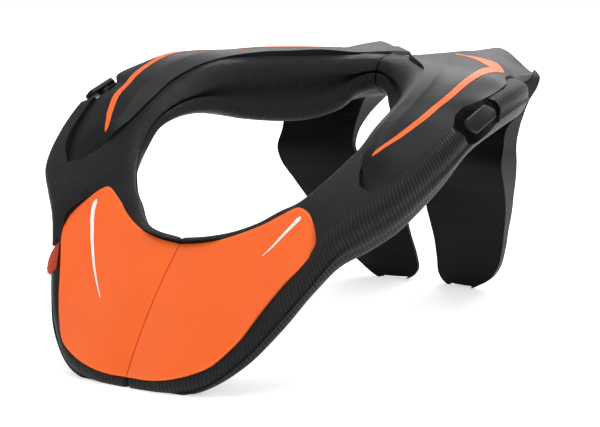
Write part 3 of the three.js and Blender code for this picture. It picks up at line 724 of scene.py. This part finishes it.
def woven_skin():
    """Tight ribbed weave over the foam."""
    found = bpy.data.materials.get("woven_skin")
    if found:
        return found
    c = colours()
    material, tree, shader = start_material("woven_skin")
    uv = tree.nodes.new("ShaderNodeUVMap")
    uv.uv_map = "pattern"
    weave = shared_group("Ribbed weave", weave_group)
    node = use_group(tree, weave, uv.outputs["UV"], Yarn_Width=sizes().weave_pitch)
    # Painted highlight: the raised top of each yarn float is mixed lighter and its low ends darker
    yarn = mix_colour(tree, node.outputs["Float"], tuple(c.weave_dark), tuple(c.weave_light))
    shade = range_of(tree, node.outputs["Shade"], 0.0, 0.35)
    tree.links.new(mix_colour(tree, shade, yarn, tuple(c.weave_dark)), shader.inputs["Base Color"])
    tree.links.new(range_of(tree, node.outputs["Float"], 0.52, 0.36), shader.inputs["Roughness"])
    bump(tree, shader, node.outputs["Height"], 1.0, 0.0005)
    shader.inputs["Specular IOR Level"].default_value = 0.2
    return material


def pad_skin():
    """Matte foam skin of the wing pads, with a fine knit."""
    found = bpy.data.materials.get("pad_skin")
    if found:
        return found
    material, tree, shader = start_material("pad_skin")
    vector = coordinates(tree)
    fine = noise_node(tree, vector, 2600.0, 2.0)
    slow = noise_node(tree, vector, 60.0, 3.0)
    tint = tuple(colours().pad)
    patchy = mix_colour(tree, slow, scaled(tint, 0.8), scaled(tint, 1.25))
    tree.links.new(patchy, shader.inputs["Base Color"])
    tree.links.new(range_of(tree, fine, 0.62, 0.8), shader.inputs["Roughness"])
    split = tree.nodes.new("ShaderNodeSeparateXYZ")
    tree.links.new(vector, split.inputs[0])
    turns = math_node(tree, "MULTIPLY", split.outputs["Z"], 2 * math.pi / 0.0018)
    lines = math_node(tree, "MULTIPLY", math_node(tree, "SINE", turns), 0.5)
    bump(tree, shader, math_node(tree, "ADD", fine, lines), 0.6, 0.0002)
    shader.inputs["Specular IOR Level"].default_value = 0.12
    return material


def orange_plastic():
    """Satin plastic of the chest plates and the stripes."""
    tint = tuple(colours().orange)
    return moulded_plastic("orange_plastic", tint, 0.42, 0.5, 2200.0, 0.00003, 0.16)


def deck_plastic():
    return moulded_plastic("deck_plastic", tuple(colours().charcoal), 0.40, 0.50, gloss=0.12)


def hook_plastic():
    return moulded_plastic("hook_plastic", tuple(colours().charcoal), 0.38, 0.5, gloss=0.16)


def shell_plastic():
    return moulded_plastic("shell_plastic", tuple(colours().shell), 0.42, 0.55, 1500.0, gloss=0.12)


def hinge_plastic():
    return moulded_plastic("hinge_plastic", tuple(colours().shell), 0.4, 0.55)


def tab_plastic():
    return moulded_plastic("tab_plastic", tuple(colours().tab), 0.36, 0.5, 1600.0)


def flash_print():
    return moulded_plastic("flash_print", tuple(colours().flash), 0.4, 0.5, 2200.0, 0.00002)


# Pieces


def roll_rings(rows):
    """Closed sections of the padded roll at these row numbers, rounded and slightly crowned."""
    s = sizes()
    lip, brow, rim, root = (rails(ROLL_SECTIONS, c, rows) for c in range(4))
    front = np.clip(rows / LIP_ROWS, 0, 1)
    lip[:, 2] += LIP_RISE * MM * (1 - front**2 * (3 - 2 * front))
    corners = [lip, brow, rim, root]
    centre = sum(corners) / 4
    last = len(ROLL_SECTIONS) - 1
    ramp = np.clip((rows / last - GROOVE_START) / GROOVE_RUN, 0, 1)
    rear = np.clip((rows / last - REAR_START) / REAR_RUN, 0, 1)
    groove = s.wall_groove * (ramp**2 * (3 - 2 * ramp))[:, None]
    t = np.linspace(0, 1, CORNER_POINTS)[None, :, None]
    parts = []
    ends = []
    for i, corner in enumerate(corners):
        before = corners[i - 1] - corner
        after = corners[(i + 1) % 4] - corner
        to_before = np.linalg.norm(before, axis=1, keepdims=True)
        to_after = np.linalg.norm(after, axis=1, keepdims=True)
        rounder = s.roll_radius * (1 + ROLL_REAR_ROUNDING * rear[:, None])
        radius = np.minimum(rounder, np.minimum(to_before, to_after) / CORNER_FIT)
        start = corner + before / to_before * radius
        end = corner + after / to_after * radius
        curve = (1 - t) ** 2 * start[:, None] + 2 * t * (1 - t) * corner[:, None] + t**2 * end[:, None]
        parts.append(curve)
        ends.append((start, end))
    rings = []
    for i in range(4):
        rings.append(parts[i])
        a = ends[i][1]
        b = ends[(i + 1) % 4][0]
        along = b - a
        out = (a + b) / 2 - centre
        side = along / np.maximum(np.linalg.norm(along, axis=1, keepdims=True), 1e-9)
        out -= side * np.sum(out * side, axis=1, keepdims=True)
        out /= np.linalg.norm(out, axis=1, keepdims=True)
        share = np.linspace(0, 1, SIDE_POINTS + 2)[1:-1][None, :, None]
        swell = s.roll_crown * 4 * share * (1 - share)
        line = a[:, None] + share * along[:, None]
        if i == 3:
            dip = groove[:, None] * np.exp(-(((share - 0.5) / GROOVE_WIDTH) ** 2))
            swell = swell - dip
        rings.append(line + out[:, None] * swell)
    section = np.concatenate(rings, axis=1)
    return np.roll(section, -3 * (CORNER_POINTS + SIDE_POINTS), axis=1)


def roll_layer(rings, lengths):
    """Pattern places in metres, round the roll's section and along it.

    Along the roll, the bends' stretch is shared between the skin's own length and the middle's.
    """
    round_steps = np.linalg.norm(np.diff(rings, axis=1), axis=2)
    along_steps = np.linalg.norm(np.diff(rings, axis=0), axis=2)
    round_way = np.pad(np.cumsum(round_steps, axis=1), ((0, 0), (1, 0)))
    each_line = np.pad(np.cumsum(along_steps, axis=0), ((1, 0), (0, 0)))
    along = (each_line + lengths[:, None]) / 2
    return np.stack([round_way, along], axis=2)


def deck_grid(rows_count, columns_count):
    """The deck's top surface as a grid of places."""
    rows, _ = even_rows(DECK_ROWS, (0, 3), rows_count)
    lines = np.stack([rails(DECK_ROWS, c, rows) for c in range(4)], axis=1)
    across = np.linspace(0, 3, columns_count)
    return np.stack([deck_line(line, across) for line in lines])


def deck_line(line, across):
    """A line over the deck: a flat inner facet, its crease, a shallow hollow and a curve outwards."""
    facet = line[0] + (line[1] - line[0]) * np.clip(across, 0, 1)[:, None]
    past = np.clip(across - 1, 0, 2)
    curve = curve_through(line[1:], past)
    width = np.linalg.norm(line[3] - line[0])
    depth = sizes().deck_hollow * np.clip((width - HOLLOW_WIDTH) / HOLLOW_WIDTH, 0, 1)
    curve[:, 2] -= depth * past / HOLLOW_SHARE * np.exp(1 - past / HOLLOW_SHARE)
    return np.where((across <= 1)[:, None], facet, curve)


def deck_point(row, across):
    """A place on the deck's top, from 0 at its inner edge to 3 at its outer one."""
    line = np.concatenate([rails(DECK_ROWS, c, [row]) for c in range(4)])
    return deck_line(line, np.array([across]))[0]


def plate_grid(rows_count, columns_count, first=0.0, last=None, top_edge=0.0, bottom_edge=1.0):
    """The chest plate's face as a grid of places, or a band of it."""
    s = sizes()
    end = len(PLATE_ROWS) - 1
    rows = np.linspace(first, end if last is None else last, rows_count)
    top = rails(PLATE_ROWS, 0, rows)
    bottom = rails(PLATE_ROWS, 1, rows)
    down = np.linspace(0, 1, columns_count)[None, :]
    down = np.asarray(top_edge) + (np.asarray(bottom_edge) - np.asarray(top_edge)) * down
    down = np.broadcast_to(down, (rows_count, columns_count))[..., None]
    bulge = s.plate_bulge * 4 * down * (1 - down) * (1 - rows[:, None, None] / end)
    return top[:, None] * (1 - down) + bottom[:, None] * down + PLATE_FACING * bulge


def hook_frame():
    """Where the strap hook stands: z points out of the shoulder, y along the cap."""
    spot = place(HOOK_PLACE)
    turn = Matrix.Rotation(math.radians(HOOK_PITCH_DEGREES), 4, "X")
    turn = turn @ Matrix.Rotation(math.radians(HOOK_LEAN_DEGREES), 4, "Y")
    return Matrix.Translation(Vector(spot)) @ turn


def scoop_cutter():
    """The hollow in which the strap hook stands."""
    bpy.ops.mesh.primitive_uv_sphere_add(segments=48, ring_count=32, radius=0.5)
    scoop = bpy.context.object
    spans = (SCOOP_WIDTH * MM, SCOOP_LENGTH * MM, 2 * SCOOP_DEPTH * MM, 1)
    scoop.data.transform(Matrix.Diagonal(spans))
    scoop.data.transform(hook_frame())
    return scoop


def seat_cutters(label, grid, thickness):
    """The seat of a sheet of this thickness, and the open room above it."""
    gap = sizes().clearance
    seat = sheet(f"{label}_seat", grid, SEAT_LIFT, thickness + gap, gap)
    room = sheet(f"{label}_room", grid, 3 * thickness, thickness / 2, gap)
    return seat, room


class BRACE_OT_collar_rolls(bpy.types.Operator):
    """Padded rolls with a tight woven skin, seated round the deck and the chest plate"""

    bl_idname = "brace.collar_rolls"
    bl_label = "Collar rolls"

    def execute(self, context):
        s = sizes()
        rows, lengths = even_rows(ROLL_SECTIONS, (0, 1), ROLL_STEPS)
        rings = roll_rings(rows)
        centre = rings.mean(axis=1, keepdims=True)
        ends = np.minimum(lengths, lengths[-1] - lengths)
        inside = np.clip(1 - (ends - s.split_gap / 2) / END_DEPTH, 0, 1)
        tuck = END_TUCK * (1 - np.sqrt(1 - inside**2))
        away = rings - centre
        away /= np.linalg.norm(away, axis=2, keepdims=True)
        rings = rings - away * tuck[:, None, None]
        roll = loft("padded_roll_left", rings, roll_layer(rings, lengths))
        deck_seat = seat_cutters("deck", deck_grid(*DECK_SEAT_STEPS), s.deck_thickness)
        plate_seat = seat_cutters("plate", plate_grid(*PLATE_SEAT_STEPS), s.plate_thickness)
        cut(roll, *deck_seat, *plate_seat, scoop_cutter())
        trim(roll)
        twin = mirrored(roll, "padded_roll_right")
        cut(twin, fitted_tab("tab_room", s.clearance, room=True))
        for piece, side in ((roll, "left"), (twin, "right")):
            smooth_shading(piece, math.radians(38))
            dress(piece, woven_skin(), f"{side}_half", f"collar_roll_{side}")
        return {"FINISHED"}


class BRACE_OT_decks(bpy.types.Operator):
    """Hard decks over the shoulders and the back"""

    bl_idname = "brace.decks"
    bl_label = "Decks"

    def execute(self, context):
        s = sizes()
        deck = sheet("deck_cover_left", deck_grid(*DECK_STEPS), 0.0, s.deck_thickness)
        rounded_edges(deck, DECK_EDGE, 3)
        smooth_shading(deck, math.radians(9))
        pair(deck, deck_plastic(), "side_panel")
        return {"FINISHED"}


class BRACE_OT_stripes(bpy.types.Operator):
    """Orange stripes let into the decks"""

    bl_idname = "brace.stripes"
    bl_label = "Stripes"

    def execute(self, context):
        s = sizes()
        table = np.array(STRIPE_ROWS)
        count, columns = STRIPE_STEPS
        steps = np.linspace(0, len(table) - 1, count)
        marks = curve_through(np.column_stack([table, np.zeros(len(table))]), steps)
        shares = np.arange(columns) / (columns - 1)
        grid = np.array([[deck_point(r, a + (b - a) * k) for k in shares] for r, a, b, _ in marks])
        stripe = sheet("stripe_inlay_left", grid, s.stripe_proud, STRIPE_DEPTH)
        smooth_shading(stripe)
        pair(stripe, orange_plastic(), "stripe")
        return {"FINISHED"}


class BRACE_OT_chest_plates(bpy.types.Operator):
    """Orange chest plates with plain pale flashes"""

    bl_idname = "brace.chest_plates"
    bl_label = "Chest plates"

    def execute(self, context):
        s = sizes()
        plate = sheet("chest_plate_left", plate_grid(*PLATE_STEPS), 0.0, s.plate_thickness)
        trim(plate)
        rounded_edges(plate, PLATE_EDGE)
        smooth_shading(plate)
        pair(plate, orange_plastic(), "front_plate")
        for side in SIDES:
            add_flash(side, *FLASHES[side])
        return {"FINISHED"}


def add_flash(side, width, line):
    """A plain pale flash that tapers to a point at both ends."""
    steps = np.linspace(0, len(line) - 1, FLASH_STEPS)
    marks = curve_through([(row, down, 0) for row, down in line], steps)
    share = steps / steps[-1]
    widening = np.minimum(1, share / FLASH_WIDENING)
    narrowing = np.clip((1 - share) / FLASH_NARROWING, 0, 1) ** FLASH_FULLNESS
    middle = np.array([plate_point(row, down) for row, down, _ in marks])
    across = np.cross(np.gradient(middle, axis=0), PLATE_FACING)
    across /= np.linalg.norm(across, axis=1, keepdims=True)
    half = across * (0.5 * width * MM * (widening * narrowing))[:, None]
    grid = np.stack([middle - half, middle, middle + half], axis=1)
    flash = sheet(f"flash_{side}", grid, FLASH_HEIGHT, FLASH_DEPTH)
    if side == "right":
        flash.data.transform(Matrix.Scale(-1, 4, (1, 0, 0)))
        flash.data.flip_normals()
    smooth_shading(flash)
    dress(flash, flash_print(), f"{side}_half", None)


def plate_point(row, down):
    """A place on the chest plate's face."""
    return plate_grid(2, 2, row, row + 0.001, down, down + 0.001)[0, 0]


def prism(name, outline, low, high):
    """An upright solid from an outline."""
    rings = np.array([[(x, y, z) for x, y in outline] for z in (low, high)])
    return loft(name, rings)


class BRACE_OT_strap_hooks(bpy.types.Operator):
    """T-shaped strap hooks in their scoops"""

    bl_idname = "brace.strap_hooks"
    bl_label = "Strap hooks"

    def execute(self, context):
        half_length = HOOK_CAP_LENGTH * MM / 2
        half_width = HOOK_CAP_WIDTH * MM / 2
        slant = HOOK_SLANT * half_width
        corner = HOOK_CORNER * MM
        outline = [
            (-half_width, half_length - corner - slant),
            (-half_width + corner, half_length - slant),
            (half_width - corner, half_length),
            (half_width, half_length - corner),
            (half_width, -half_length + corner + slant),
            (half_width - corner, -half_length + slant),
            (-half_width + corner, -half_length),
            (-half_width, -half_length + corner),
        ]
        cap = prism("hook_cap_left", outline, 0, HOOK_CAP_THICKNESS * MM)
        rounded_edges(cap, HOOK_EDGE, 3, math.radians(30))
        radius = HOOK_STEM_DIAMETER * MM / 2
        angles = np.linspace(0, 2 * math.pi, 32, endpoint=False)
        circle = [(radius * math.cos(a), radius * math.sin(a)) for a in angles]
        join(cap, prism("hook_stem", circle, -HOOK_STEM_LENGTH * MM, MM))
        cap.data.transform(hook_frame())
        smooth_shading(cap)
        pair(cap, hook_plastic(), "strap_hook")
        return {"FINISHED"}


def wing_rings(levels, columns, front, back, inset=0.0):
    """Closed sections of the wing between a front and a back, from tip to top."""
    outer = rails(WING_LEVELS, 0, levels)
    inner = rails(WING_LEVELS, 1, levels)
    depths = curve_through([row[2] for row in WING_LEVELS], levels) * sizes().rear_reach
    margin = inset / np.linalg.norm(outer - inner, axis=1)
    share = margin[:, None] + (1 - 2 * margin[:, None]) * np.linspace(0, 1, columns)[None]
    line = outer[:, None] * (1 - share[..., None]) + inner[:, None] * share[..., None]
    front_y = front(share)
    back_y = back(share, depths)
    near, far = line.copy(), line.copy()
    near[..., 1] += front_y
    far[..., 1] += back_y
    return np.concatenate([near, far[:, ::-1]], axis=1)


def wing_crown(share):
    return -PAD_CROWN * MM * np.sin(math.pi * share)


def wing_depth(share, depths):
    """The depth behind the front, on a parabola through its outer, middle and inner values."""
    outer, middle, inner = (depths[:, k, None] for k in range(3))
    outer_part = outer * (1 - share) * (1 - 2 * share)
    middle_part = 4 * middle * share * (1 - share)
    return outer_part + middle_part + inner * share * (2 * share - 1)


def pad_depth(share, depths):
    return (PAD_EDGE_THICKNESS + (PAD_THICKNESS - PAD_EDGE_THICKNESS) * np.sin(math.pi * share)) * MM


class BRACE_OT_wings(bpy.types.Operator):
    """Wing shells with their padded fronts"""

    bl_idname = "brace.wings"
    bl_label = "Wings"

    def execute(self, context):
        s = sizes()
        gap = s.clearance
        count, columns = WING_STEPS
        levels = np.linspace(0, len(WING_LEVELS) - 1, count)
        rings = wing_rings(levels, columns, wing_crown, wing_depth)
        shell = loft("wing_cover_left", rings)
        count, columns = PAD_SEAT_STEPS
        rings = wing_rings(
            np.linspace(0, PAD_TOP_LEVEL, count),
            columns,
            lambda share: wing_crown(share) - PAD_THICKNESS * MM,
            lambda share, depths: pad_depth(share, depths) + gap,
            PAD_INSET * MM - gap,
        )
        pad_seat = loft("pad_seat", rings)
        deck_seat = seat_cutters("deck", deck_grid(*DECK_SEAT_STEPS), s.deck_thickness)
        cut(shell, pad_seat, *deck_seat)
        trim(shell)
        smooth_shading(shell, math.radians(32))
        pair(shell, shell_plastic(), "wing_shell")
        count, columns = PAD_STEPS
        levels = np.linspace(0, PAD_TOP_LEVEL, count)
        rings = wing_rings(levels, columns, wing_crown, pad_depth, PAD_INSET * MM)
        pad = loft("back_pad_left", rings)
        trim(pad, PAD_FOOT * MM)
        smooth_shading(pad, math.radians(50))
        pair(pad, pad_skin(), "wing_pad")
        return {"FINISHED"}


def tab_frame():
    """Where the tab turns: x points out of the roll's side, y down the plate's edge."""
    along = Vector(TAB_ALONG).normalized()
    out = Vector(TAB_OUT)
    out = (out - along * out.dot(along)).normalized()
    normal = out.cross(along)
    turn = Matrix((out, along, normal)).transposed().to_4x4()
    return Matrix.Translation(Vector(place(TAB_PLACE))) @ turn


def fitted_tab(name, grow=0.0, room=False):
    """The release tab's blade and round head, or the room it needs to swing."""
    length = TAB_LENGTH * MM + 2 * grow
    outer = TAB_OUTER_DEGREES + (TAB_ROOM_OUTER_DEGREES if room else 0)
    inner = TAB_ROOM_INNER_DEGREES if room else TAB_INNER_DEGREES
    bulge = TAB_BULGE * (TAB_ROOM_BULGE if room else 1)
    angles = [math.radians(90 - a) for a in np.linspace(inner, outer, 12)]
    blade = [(-grow, 0.0)] + [(-grow + length * math.cos(a), length * math.sin(a)) for a in angles]
    tip = np.array(blade[-1])
    bend = np.array([2 * bulge * MM, length / 2])
    root = np.array(blade[0])
    for t in np.linspace(0, 1, 9)[1:-1]:
        blade.append(tuple((1 - t) ** 2 * tip + 2 * t * (1 - t) * bend + t**2 * root))
    half = TAB_THICKNESS * MM / 2 + grow
    front = half + (TAB_NOTCH if room else TAB_PROUD) * MM
    piece = prism(name, blade, -half, front)
    radius = TAB_HEAD_RADIUS * MM + grow
    turns = np.linspace(0, 2 * math.pi, 28, endpoint=False)
    circle = [(radius * math.cos(a), radius * math.sin(a)) for a in turns]
    join(piece, prism("tab_head", circle, -half, half))
    piece.data.transform(tab_frame())
    return piece


class BRACE_OT_release_tab(bpy.types.Operator):
    """Red pull tab beside the wearer's right plate"""

    bl_idname = "brace.release_tab"
    bl_label = "Release tab"

    def execute(self, context):
        tab = fitted_tab("release_tab_grip")
        rounded_edges(tab, TAB_EDGE, 2, math.radians(50))
        smooth_shading(tab)
        material = tab_plastic()
        dress(tab, material, "tab", "release_tab")
        self.add_ribs(material)
        return {"FINISHED"}

    def add_ribs(self, material):
        """Grip ribs across the tab's front, repeated by a node tree."""
        start = bpy.data.meshes.new("tab_ribs")
        ribs = bpy.data.objects.new("tab_ribs", start)
        bpy.context.scene.collection.objects.link(ribs)
        tree = rib_tree()
        change = ribs.modifiers.new("ribs", "NODES")
        change.node_group = tree
        inputs = [item for item in tree.interface.items_tree if item.in_out == "INPUT"]
        names = {item.name: item.identifier for item in inputs}
        change[names["Count"]] = TAB_RIBS
        change[names["Spacing"]] = TAB_RIB_SPACING * MM
        change[names["Length"]] = TAB_RIB_LENGTH * MM
        change[names["Thickness"]] = TAB_RIB_THICKNESS * MM
        change[names["Material"]] = material
        apply_modifiers(ribs)
        lift = (TAB_THICKNESS / 2 + TAB_PROUD) * MM - 0.0001
        first = (TAB_RIB_LENGTH * MM * 0.1, TAB_LENGTH * MM * 0.45, lift)
        ribs.data.transform(Matrix.Translation(first))
        ribs.data.transform(tab_frame())
        outward(ribs)
        smooth_shading(ribs)
        dress(ribs, material, "tab", None)


def rib_tree():
    """A row of round bars along y, from its count, spacing and size."""
    tree = bpy.data.node_groups.new("Grip ribs", "GeometryNodeTree")
    for label, kind, default in (
        ("Count", "NodeSocketInt", 5),
        ("Spacing", "NodeSocketFloat", 0.002),
        ("Length", "NodeSocketFloat", 0.004),
        ("Thickness", "NodeSocketFloat", 0.0008),
        ("Material", "NodeSocketMaterial", None),
    ):
        socket = tree.interface.new_socket(label, in_out="INPUT", socket_type=kind)
        if default is not None:
            socket.default_value = default
    tree.interface.new_socket("Geometry", in_out="OUTPUT", socket_type="NodeSocketGeometry")
    entry = tree.nodes.new("NodeGroupInput")
    leave = tree.nodes.new("NodeGroupOutput")
    offset = tree.nodes.new("ShaderNodeCombineXYZ")
    tree.links.new(entry.outputs["Spacing"], offset.inputs["Y"])
    row = tree.nodes.new("GeometryNodeMeshLine")
    tree.links.new(entry.outputs["Count"], row.inputs["Count"])
    tree.links.new(offset.outputs[0], row.inputs["Offset"])
    bar = tree.nodes.new("GeometryNodeMeshCylinder")
    bar.inputs["Vertices"].default_value = 12
    radius = math_node(tree, "DIVIDE", entry.outputs["Thickness"], 2.0)
    tree.links.new(radius, bar.inputs["Radius"])
    tree.links.new(entry.outputs["Length"], bar.inputs["Depth"])
    place_bars = tree.nodes.new("GeometryNodeInstanceOnPoints")
    place_bars.inputs["Rotation"].default_value = (0, math.pi / 2, 0)
    tree.links.new(row.outputs["Mesh"], place_bars.inputs["Points"])
    tree.links.new(bar.outputs["Mesh"], place_bars.inputs["Instance"])
    real = tree.nodes.new("GeometryNodeRealizeInstances")
    tree.links.new(place_bars.outputs["Instances"], real.inputs["Geometry"])
    finish = tree.nodes.new("GeometryNodeSetMaterial")
    tree.links.new(real.outputs["Geometry"], finish.inputs["Geometry"])
    tree.links.new(entry.outputs["Material"], finish.inputs["Material"])
    tree.links.new(finish.outputs["Geometry"], leave.inputs["Geometry"])
    return tree


class BRACE_OT_hinge_finish(bpy.types.Operator):
    """Finish of the rear hinge's own solids"""

    bl_idname = "brace.hinge_finish"
    bl_label = "Hinge finish"

    def execute(self, context):
        material = hinge_plastic()
        for side in SIDES:
            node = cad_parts[f"hinge_{side}"]
            for slot in node.material_slots:
                slot.material = material
        return {"FINISHED"}


# Studio: the camera, a pale floor and soft lights


def add_light(name, spot, size, power):
    data = bpy.data.lights.new(name, "AREA")
    data.shape = "RECTANGLE"
    data.size, data.size_y = size
    data.energy = power
    lamp = bpy.data.objects.new(name, data)
    bpy.context.scene.collection.objects.link(lamp)
    lamp.location = spot
    lamp.rotation_euler = (Vector(LIGHT_TARGET) - Vector(spot)).to_track_quat("-Z", "Y").to_euler()


def floor_surface():
    """Pale matte surface that gives off a little light, so that it stays pale far out."""
    material, tree, shader = start_material("studio_floor")
    tint = tuple(colours().floor)
    slow = noise_node(tree, coordinates(tree), 1.5, 2.0)
    patchy = mix_colour(tree, slow, scaled(tint, 0.99), scaled(tint, 1.01))
    tree.links.new(patchy, shader.inputs["Base Color"])
    shader.inputs["Roughness"].default_value = 0.8
    shader.inputs["Emission Color"].default_value = (1, 1, 1, 1)
    shader.inputs["Emission Strength"].default_value = 0.55
    return material


def add_floor():
    bpy.ops.mesh.primitive_plane_add(size=40, location=(0, 0, 0))
    floor = bpy.context.object
    floor.name = "studio_floor"
    floor.data.materials.append(floor_surface())


def add_camera(scene):
    a, e = math.radians(CAMERA_AZIMUTH), math.radians(CAMERA_ELEVATION)
    back = Vector((math.sin(a) * math.cos(e), -math.cos(a) * math.cos(e), math.sin(e)))
    data = bpy.data.cameras.new("camera")
    data.lens = CAMERA_LENS
    data.sensor_width = 36
    data.clip_start, data.clip_end = 0.05, 60
    camera = bpy.data.objects.new("camera", data)
    scene.collection.objects.link(camera)
    camera.location = Vector(CAMERA_TARGET) + back * CAMERA_DISTANCE
    camera.rotation_euler = (-back).to_track_quat("-Z", "Y").to_euler()
    scene.camera = camera


class BRACE_OT_stage(bpy.types.Operator):
    """Pale floor, soft studio light and the camera"""

    bl_idname = "brace.stage"
    bl_label = "Stage"

    def execute(self, context):
        scene = context.scene
        add_floor()
        world = bpy.data.worlds.new("studio")
        scene.world = world
        world.use_nodes = True
        background = world.node_tree.nodes["Background"]
        background.inputs["Color"].default_value = (1, 1, 1, 1)
        background.inputs["Strength"].default_value = 0.42
        for light in LIGHTS:
            add_light(*light)
        add_camera(scene)
        scene.view_settings.view_transform = "Standard"
        return {"FINISHED"}


OPERATORS = (
    BRACE_OT_collar_rolls,
    BRACE_OT_decks,
    BRACE_OT_stripes,
    BRACE_OT_chest_plates,
    BRACE_OT_strap_hooks,
    BRACE_OT_wings,
    BRACE_OT_release_tab,
    BRACE_OT_hinge_finish,
    BRACE_OT_stage,
)


class BRACE_PT_panel(bpy.types.Panel):
    """Sizes, colours and pieces of the neck brace"""

    bl_idname = "BRACE_PT_panel"
    bl_label = "Neck brace"
    bl_space_type = "VIEW_3D"
    bl_region_type = "UI"
    bl_category = "Neck brace"

    def draw(self, context):
        column = self.layout.column()
        for group in (context.scene.brace_sizes, context.scene.brace_colours):
            for name in group.__annotations__:
                column.prop(group, name)
        for operator in OPERATORS:
            column.operator(operator.bl_idname)


CLASSES = (BraceSizes, BraceColours, *OPERATORS, BRACE_PT_panel)


def register():
    for item in CLASSES:
        bpy.utils.register_class(item)
    bpy.types.Scene.brace_sizes = bpy.props.PointerProperty(type=BraceSizes)
    bpy.types.Scene.brace_colours = bpy.props.PointerProperty(type=BraceColours)


def unregister():
    del bpy.types.Scene.brace_colours
    del bpy.types.Scene.brace_sizes
    for item in reversed(CLASSES):
        bpy.utils.unregister_class(item)


def main():
    register()
    for operator in OPERATORS:
        group, name = operator.bl_idname.split(".")
        getattr(getattr(bpy.ops, group), name)()


if __name__ == "__main__":
    main()
